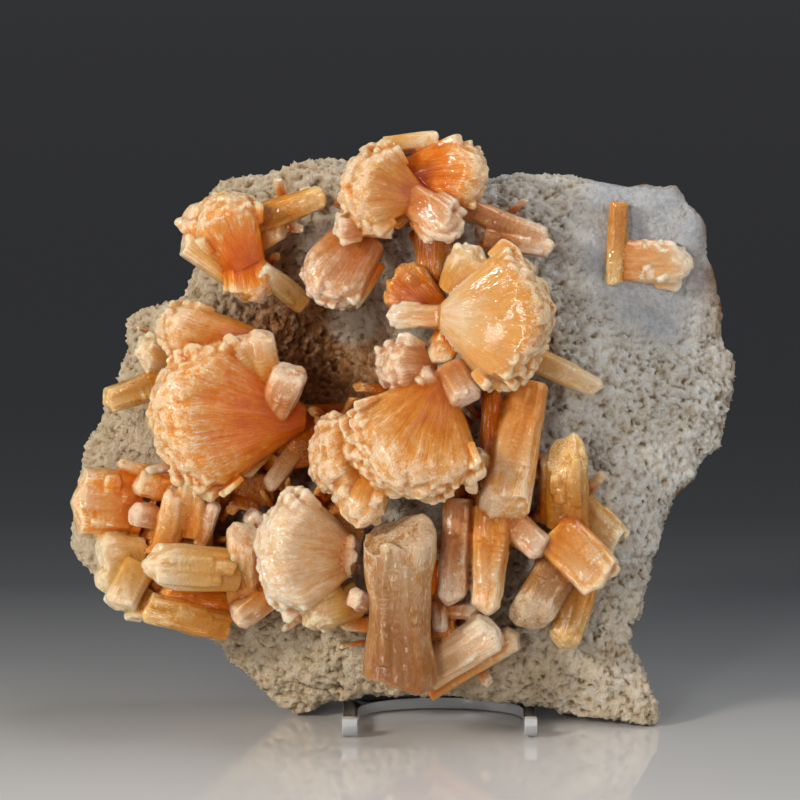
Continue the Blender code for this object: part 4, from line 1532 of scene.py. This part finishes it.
@dataclass(frozen=True)
class Studio:
    """The floor, the lights and the camera.

    Args:
        distance: how far the camera is from the plate's middle, in metres.
        field: the width of the view at the plate's middle, in metres.
        sensor: the camera's sensor width, in millimetres.
        target: the point that the lights are aimed at, in metres.
        panels: the lights.
        radius: how far the floor reaches, in metres.
        drop: how far it lies under the object, in metres.
        pale: the floor's colours by the distance behind the object's middle, in metres, darkening behind it
            as painted shade.
        surround: the grey of the room.
    """

    distance: float = 1.0
    field: float = 0.2
    sensor: float = 36.0
    target: tuple = (0.0, 0.0, 0.07)
    panels: tuple = (
        Panel("key", (-0.84, -0.63, 0.56), (0.20, 0.20), 8.6, (1.0, 0.96, 0.88)),
        Panel("rim", (-0.50, 0.16, 0.30), (0.20, 0.30), 0.35, (1.0, 0.98, 0.95)),
        Panel("fill", (0.75, -0.50, 0.50), (0.90, 0.90), 3.2, (1.0, 0.99, 0.97)),
        Panel("spark", (-0.35, -0.90, 0.29), (0.12, 0.50), 2.8, (1.0, 0.98, 0.95)),
        Panel("top", (0.22, 0.06, 0.66), (0.35, 0.30), 1.7, (0.92, 0.96, 1.0)),
    )
    radius: float = 6.0
    drop: float = 0.0002
    pale: tuple = (
        (-0.10, (0.76, 0.745, 0.735)), (-0.03, (0.62, 0.61, 0.60)), (0.05, (0.30, 0.30, 0.305)),
        (0.14, (0.105, 0.11, 0.115)), (0.24, (0.05, 0.052, 0.056)), (0.42, (0.030, 0.031, 0.034)),
        (1.2, (0.045, 0.046, 0.05)),
    )
    surround: tuple = (0.045, 0.046, 0.05)

    def build(self) -> None:
        """Set up the floor, the lights and the camera."""
        self.floor()
        for panel in self.panels:
            panel.build(self.target)
        self.world()
        self.camera()

    def floor(self) -> None:
        """A plain pale floor, painted darker behind the object as painted shade."""
        mesh = bpy.data.meshes.new("floor")
        shape = bmesh.new()
        bmesh.ops.create_circle(shape, cap_ends=True, segments=96, radius=self.radius)
        shape.to_mesh(mesh)
        shape.free()
        nodes = NodeMaker("pale_floor")
        behind = nodes.add("ShaderNodeSeparateXYZ")
        nodes.link(nodes.place(), behind.inputs["Vector"])
        nodes.dress({
            # painted shade: the floor darkens behind the object
            "Base Color": nodes.ramp(behind.outputs["Y"], self.pale),
            "Roughness": 0.5,
            "Specular IOR Level": 0.05,
            "Coat Weight": 1.0,
            "Coat Roughness": 0.035,
            "Coat IOR": 2.2,
        })
        mesh.materials.append(nodes.material)
        floor = new_object("floor", mesh)
        floor.location.z = -self.drop

    def world(self) -> None:
        """A dim grey surround."""
        world = bpy.data.worlds.new("surround")
        world.use_nodes = True
        background = world.node_tree.nodes["Background"]
        background.inputs["Color"].default_value = (*self.surround, 1.0)
        background.inputs["Strength"].default_value = 1.0
        bpy.context.scene.world = world

    def camera(self) -> None:
        """A camera square to the leaning plate, with colours shown as they are."""
        bpy.context.scene.view_settings.view_transform = "Standard"
        middle = Vector(PLATE.to_world(np.array((0.0, 0.0, 0.0))))
        outward = Vector(PLATE.to_world(np.array((0.0, 0.0, 1.0)))) - middle
        data = bpy.data.cameras.new("camera")
        data.sensor_width = self.sensor
        data.lens = self.sensor * self.distance / self.field
        data.clip_start = 0.01
        eye = new_object("camera", data)
        eye.location = middle + outward.normalized() * self.distance
        eye.rotation_euler = (-outward).to_track_quat("-Z", "Y").to_euler()
        bpy.context.scene.camera = eye


PEACH, ORANGE, PINK, CREAM = Tone.PEACH, Tone.ORANGE, Tone.PINK, Tone.CREAM
AMBER, GLASSY, DEEP_SHADED, PALE = Tone.AMBER, Tone.GLASSY, Tone.DEEP_SHADED, Tone.PALE

GROUPS = (
    CrystalGroup("upper_left_sheaves", "stilbite_orange", (
        fan((-38.5, 34.5, 15), (-46.5, 51.0, 21), 5.2, 19, (5.0, 8.0), ORANGE),
        blade((-40.5, 31.5, 11), (-54.0, 41.5, 15), (4.2, 5.0), 3.4, CREAM),
        blade((-43.0, 37.0, 11), (-53.5, 47.5, 16), (4.0, 5.0), 3.4, ORANGE),
        fan((-40.0, 40.5, 16), (-36.5, 24.5, 13), 4.4, 8, (4.4, 5.4), ORANGE),
        blade((-35.5, 45.0, 12), (-18.7, 51.2, 15), (3.8, 3.2), 3.2, AMBER, slant=0.5),
        blade((-36.0, 38.5, 10), (-28.7, 43.0, 13), (2.4, 2.2), 2.2, PEACH),
        blade((-24.5, 24.2, 6), (-35.5, 33.2, 17), (2.8, 2.6), 2.4, CREAM),
        blade((-39.0, 38.0, -6), (-40.0, 40.0, 12), (5.0, 5.0), 6.0, DEEP_SHADED),
    ), (Druse((-36.0, 38.0, 8.0), (5.0, 6.0), 10, DEEP_SHADED), Druse((-28.0, 46.0, 6.0), (9.0, 4.0), 8, ORANGE))),
    CrystalGroup("upper_sheaves", "stilbite_peach", (
        fan((4.0, 51.0, 19), (-14.5, 55.0, 25), 3.2, 44, (4.5, 9.5), PEACH, drop=0.3),
        fan((-1.0, 54.0, 20), (14.5, 41.0, 25), 2.8, 12, (3.2, 5.0), PINK),
        fan((1.0, 56.0, 14), (22.0, 57.0, 19), 4.2, 22, (5.0, 7.0), ORANGE),
        blade((-4.0, 63.8, 13), (10.2, 65.0, 14), (2.0, 2.4), 2.2, CREAM),
        fan((-8.0, 43.0, 23), (-17.5, 43.0, 25), 2.0, 9, (2.2, 3.0), PINK),
        blade((-9.5, 43.0, 23), (-1.7, 42.7, 24), (2.0, 2.1), 2.2, PINK),
        fan((-9.5, 41.0, 13), (-20.7, 24.7, 20), 6.8, 10, (4.5, 7.0), PINK),
        blade((-5.5, 34.0, 13), (-11.7, 23.5, 17), (2.0, 1.8), 2.2, ORANGE),
        blade((7.0, 46.0, 12), (7.5, 29.5, 14), (3.6, 3.4), 3.2, DEEP_SHADED),
        blade((16.5, 48.0, 12), (37.0, 39.7, 12), (2.8, 2.6), 2.8, PINK),
        blade((21.0, 40.5, 13), (38.2, 37.5, 13), (2.6, 2.4), 2.6, PINK),
        blade((-12.0, 52.0, 12), (4.0, 47.0, 14), (5.5, 5.5), 5.5, DEEP_SHADED),
        blade((1.0, 48.0, -6), (1.0, 50.0, 15), (9.0, 7.5), 5.5, DEEP_SHADED),
    ), (Druse((0.0, 45.0, 8.0), (12.0, 6.0), 16, DEEP_SHADED), Druse((18.0, 44.0, 5.0), (12.0, 6.0), 14, PINK))),
    CrystalGroup("bow_tie", "stilbite_peach", (
        # the bow tie's large fan, its paler root partly painted light on its lit side
        fan((10.2, 21.0, 26), (38.5, 19.5, 27), 3.4, 50, (4.4, 11.0), Tone.MILKY_LIT, drop=0.22, cell=2.8),
        fan((15.0, 21.0, 26), (-4.2, 20.9, 24), 2.6, 3, (2.8, 3.6), PALE),
        fan((12.0, 20.0, 20), (-2.5, 32.0, 17), 2.8, 17, (2.8, 3.2), DEEP_SHADED),
        fan((13.0, 27.0, 23), (19.5, 38.2, 26), 3.8, 15, (4.2, 5.0), CREAM),
        blade((13.5, 19.0, 20), (9.0, 8.7, 23), (3.8, 3.6), 4.0, ORANGE),
        blade((24.0, 14.0, 13), (50.5, 2.5, 9), (3.4, 2.6), 3.4, CREAM),
        blade((24.0, 20.0, -2), (16.0, 20.0, 22), (7.0, 6.0), 7.0, DEEP_SHADED),
    ), (Druse((14.0, 28.0, 10.0), (8.0, 8.0), 14, DEEP_SHADED), Druse((26.0, 10.0, 10.0), (6.0, 6.0), 10, PEACH))),
    CrystalGroup("centre_fans", "stilbite_peach", (
        fan((10.0, 3.7, 22), (-2.4, -23.5, 32), 3.8, 42, (4.4, 10.5), PEACH, cell=2.8),
        blade((10.5, 1.0, 22), (4.0, 7.0, 25), (3.4, 3.4), 3.2, PINK),
        fan((-6.0, -13.0, 18), (-22.2, -15.5, 26), 5.0, 31, (5.0, 9.0), PEACH),
        fan((-7.0, -15.5, 20), (-10.7, -31.0, 27), 4.4, 12, (5.0, 6.6), PEACH),
        fan((7.0, 8.5, 19), (-6.0, 9.7, 26), 4.2, 15, (5.0, 6.6), PINK),
        blade((12.5, 8.0, 23), (17.0, -0.5, 28), (3.8, 3.8), 3.4, PINK),
        blade((4.0, -8.0, -5), (2.0, -10.0, 20), (9.0, 7.0), 8.0, DEEP_SHADED),
    ), (Druse((1.0, 0.0, 6.0), (5.0, 5.0), 12, DEEP_SHADED), Druse((-14.0, -10.0, 8.0), (6.0, 8.0), 12, DEEP_SHADED))),
    CrystalGroup("right_blades", "stilbite_peach", (
        blade((32.5, 4.0, 16), (25.7, -28.9, 23), (4.8, 6.6), 4.8, PEACH, slant=-0.3, blunt=0.7, roll=8.0),
        blade((23.0, 4.0, 16), (22.5, -17.5, 18), (2.6, 2.6), 3.0, DEEP_SHADED),
        blade((14.5, -25.0, 14), (13.0, -51.2, 18), (3.8, 3.6), 4.0, PINK),
        blade((23.5, -27.0, 17), (21.2, -53.7, 20), (5.0, 3.4), 4.2, PEACH),
        blade((25.0, -27.5, 16), (36.2, -38.2, 18), (3.8, 3.8), 3.6, PINK),
        blade((22.0, -16.0, 20), (18.3, -13.2, 24), (2.0, 1.9), 1.9, CREAM),
        blade((24.0, -32.0, -3), (24.0, -28.0, 16), (9.0, 7.0), 7.0, DEEP_SHADED),
    ), (Druse((24.0, -16.0, 8.0), (8.0, 12.0), 14, DEEP_SHADED), Druse((18.0, -42.0, 7.0), (8.0, 10.0), 14, PINK))),
    CrystalGroup("left_fans", "stilbite_orange", (
        fan((-25.0, -4.5, 9), (-62.5, -3.0, 25), 3.6, 38, (4.4, 10.0), ORANGE, drop=0.25, cell=2.8),
        fan((-37.5, 13.5, 11), (-61.0, 20.0, 19), 4.8, 7, (4.4, 6.2), PEACH),
        fan((-57.0, 11.0, 7), (-65.5, 12.0, 12), 3.6, 9, (3.2, 4.0), CREAM),
        blade((-49.0, 8.5, 5), (-74.2, -0.5, 12), (3.6, 3.2), 2.8, AMBER),
        blade((-32.0, 2.0, 13), (-41.5, 15.5, 21), (3.6, 3.4), 3.2, PEACH),
        blade((-32.0, 1.0, 13), (-35.5, 17.2, 21), (3.5, 3.4), 3.2, PEACH),
        blade((-32.0, -3.5, 13), (-26.7, 8.0, 21), (4.2, 4.2), 3.6, PINK),
        blade((-54.5, -16.0, 9), (-63.5, -18.0, 14), (1.6, 1.3), 1.6, PINK),
        blade((-31.0, -8.0, 7), (-39.2, -19.2, 12), (2.5, 2.2), 2.4, PEACH),
        blade((-25.0, -11.0, 7), (-33.2, -22.2, 12), (2.5, 2.2), 2.4, PEACH),
        blade((-15.0, -8.0, -2), (-31.0, -10.0, 8), (7.0, 8.0), 5.0, DEEP_SHADED),
        blade((-44.0, 3.0, -6), (-44.0, 1.0, 11), (10.0, 8.0), 9.0, DEEP_SHADED),
        blade((-38.0, -20.0, -9), (-40.0, -23.0, 8), (10.0, 8.0), 5.0, DEEP_SHADED),
        blade((-50.0, -17.0, -6), (-52.0, -21.0, 9), (6.0, 5.0), 4.0, DEEP_SHADED),
    ), (Druse((-24.0, -12.0, 3.0), (10.0, 8.0), 22, DEEP_SHADED), Druse((-44.0, -20.0, 8.0), (12.0, 6.0), 20, DEEP_SHADED),
        Druse((-56.0, 12.0, 4.0), (8.0, 6.0), 8, ORANGE))),
    CrystalGroup("lower_left_blades", "stilbite_orange", (
        blade((-65.0, -26.2, 6), (-81.8, -25.0, 11), (8.0, 8.6), 4.0, ORANGE),
        blade((-56.0, -22.7, 10), (-66.5, -20.5, 13), (3.6, 3.6), 3.2, ORANGE),
        blade((-57.5, -19.0, 9), (-70.7, -15.7, 10), (1.9, 1.5), 1.8, PEACH),
        blade((-61.0, -29.5, 12), (-67.5, -28.5, 16), (2.9, 2.8), 2.8, PINK),
        blade((-52.5, -33.5, 12), (-51.7, -18.7, 18), (3.6, 3.4), 3.2, PEACH),
        blade((-58.7, -37.0, 12), (-55.5, -22.5, 17), (3.3, 3.2), 3.2, PEACH),
        blade((-50.0, -36.0, 12), (-46.0, -25.2, 16), (1.8, 1.7), 2.2, PINK),
        fan((-41.2, -42.5, 13), (-64.5, -41.2, 24), 5.2, 1, (4.8, 5.2), CREAM),
        blade((-43.0, -56.5, 8), (-64.7, -51.5, 14), (3.9, 3.9), 3.6, AMBER),
        blade((-41.2, -50.0, 8), (-60.0, -48.0, 12), (3.2, 3.0), 3.2, DEEP_SHADED),
        blade((-64.5, -39.5, 8), (-75.7, -39.0, 12), (5.4, 5.6), 3.6, CREAM),
        blade((-65.0, -41.5, 11), (-70.5, -52.0, 16), (4.2, 4.0), 3.4, CREAM),
        blade((-63.0, -48.0, 9), (-67.5, -55.5, 13), (2.8, 2.5), 2.6, CREAM),
        blade((-66.0, -40.5, 8), (-75.0, -47.5, 12), (4.0, 4.4), 3.4, CREAM),
        blade((-56.0, -40.0, -6), (-56.0, -37.0, 11), (11.0, 9.0), 11.0, DEEP_SHADED),
    ), (Druse((-56.0, -34.0, 8.0), (12.0, 8.0), 22, DEEP_SHADED),
        Druse((-56.0, -46.0, 7.0), (10.0, 5.0), 12, ORANGE))),
    CrystalGroup("lower_fans", "stilbite_peach", (
        fan((-13.0, -38.7, 16), (-36.0, -38.0, 27), 5.2, 38, (4.4, 7.6), PALE),
        blade((-16.0, -38.7, 18), (-9.5, -38.7, 18), (5.2, 5.2), 3.8, PINK),
        blade((-39.5, -50.0, 9), (-39.2, -32.5, 18), (4.1, 4.0), 3.6, PEACH, slant=-0.5, blunt=0.75),
        blade((-25.0, -36.0, 7), (-38.7, -28.5, 12), (2.7, 2.5), 3.0, PINK),
        blade((-23.0, -54.0, 13), (-27.7, -52.3, 17), (1.8, 1.7), 1.8, PINK),
        fan((-11.5, -50.0, 13), (-24.0, -54.5, 21), 4.8, 2, (4.4, 4.8), CREAM),
        blade((-8.5, -50.5, 18), (-12.2, -48.8, 22), (2.6, 2.6), 2.4, PINK),
        blade((-31.0, -46.5, 8), (-41.2, -55.5, 13), (4.0, 3.8), 3.2, PEACH),
        blade((-7.0, -56.0, 11), (-14.7, -56.0, 13), (2.0, 1.8), 2.2, ORANGE),
        blade((-24.0, -44.0, -6), (-23.0, -43.0, 14), (10.0, 8.0), 7.0, DEEP_SHADED),
        blade((-16.0, -28.0, -4), (-13.0, -33.0, 15), (5.0, 4.5), 4.5, DEEP_SHADED),
    ), (Druse((-22.0, -28.0, 8.0), (10.0, 5.0), 18, DEEP_SHADED), Druse((-30.0, -46.0, 6.0), (8.0, 3.5), 14, ORANGE),
        Druse((-18.0, -48.0, 8.0), (6.0, 6.0), 8, PINK))),
    CrystalGroup("standing_blade", "stilbite_amber", (
        blade((-0.2, -72.6, 21.4), (0.0, -31.8, 26.5), (8.8, 8.8), 5.0, GLASSY, slant=-0.8, cell=3.0,
              waist=0.18, both_ends=True, blunt=0.8, roll=-6.0),
        blade((6.5, -68.0, 13), (24.2, -57.0, 18), (5.0, 5.0), 4.2, PALE),
        blade((6.5, -72.0, 9), (30.0, -58.7, 12), (3.6, 3.3), 3.2, PEACH),
        blade((9.5, -49.0, 14), (10.0, -58.0, 17), (2.0, 1.9), 2.2, PINK),
        blade((11.5, -52.5, 13), (19.5, -53.0, 17), (2.1, 2.0), 2.2, PINK),
        blade((3.0, -60.0, -5), (2.0, -57.0, 16), (7.5, 6.5), 8.0, DEEP_SHADED),
        blade((10.5, -42.0, 1), (11.0, -62.0, 15), (3.6, 3.4), 4.0, DEEP_SHADED),
    ), (Druse((12.0, -58.0, 7.0), (9.0, 8.0), 16, PINK), Druse((-6.0, -57.0, 8.0), (3.0, 5.0), 8, ORANGE))),
    CrystalGroup("lower_right_blades", "stilbite_peach", (
        blade((41.7, -31.0, 12), (41.7, -12.0, 19.5), (5.2, 5.0), 4.6, AMBER, slant=-0.6, blunt=0.8),
        blade((37.0, -30.0, 10), (37.0, -14.5, 16), (2.3, 2.1), 3.2, ORANGE),
        blade((38.7, -33.0, 15), (51.7, -46.2, 21), (6.0, 6.0), 3.2, PEACH, cell=1.4),
        blade((46.5, -42.0, 8), (40.5, -61.2, 14), (4.3, 4.2), 3.6, AMBER),
        blade((40.5, -40.5, 11), (31.7, -55.0, 19), (5.6, 5.4), 4.6, GLASSY, slant=-0.4),
        blade((44.0, -27.0, 6.5), (54.5, -37.5, 7), (5.2, 5.0), 3.2, CREAM),
        blade((43.0, -38.0, -4), (42.5, -36.0, 13), (7.0, 5.0), 7.0, DEEP_SHADED),
    ), (Druse((40.0, -30.0, 7.0), (7.0, 10.0), 16, ORANGE),
        Druse((32.0, -26.0, 7.0), (5.0, 10.0), 10, DEEP_SHADED))),
    CrystalGroup("embedded_crystals", "stilbite_pale", (
        blade((54.7, 49.2, 0.6), (53.2, 28.0, 1.4), (2.5, 2.4), 3.6, AMBER),
        fan((55.0, 34.6, 0.2), (73.2, 33.6, -0.6), 5.4, 3, (4.0, 4.2), PALE),
    ), (Druse((63.5, 34.4, 3.0), (4.5, 2.6), 30, PALE, (3.2, 4.8)),), CrystalMesher(depth_shade=0.0)),
)


def main() -> None:
    """Build every piece and report it."""
    logging.basicConfig(level=logging.INFO, format="%(message)s")
    rock = Rock().build()
    LOG.info("%s: %d faces", rock.name, len(rock.data.polygons))
    materials = {tone: finish.material("stilbite_" + tone.value) for tone, finish in FINISHES.items()}
    for group in GROUPS:
        piece = group.build(materials)
        LOG.info("%s: %d faces, %d crystals", piece.name, len(piece.data.polygons), len(group.crystals))
    easel = Easel().build()
    LOG.info("%s: %d faces", easel.name, len(easel.data.polygons))
    Studio().build()


if __name__ == "__main__":
    main()
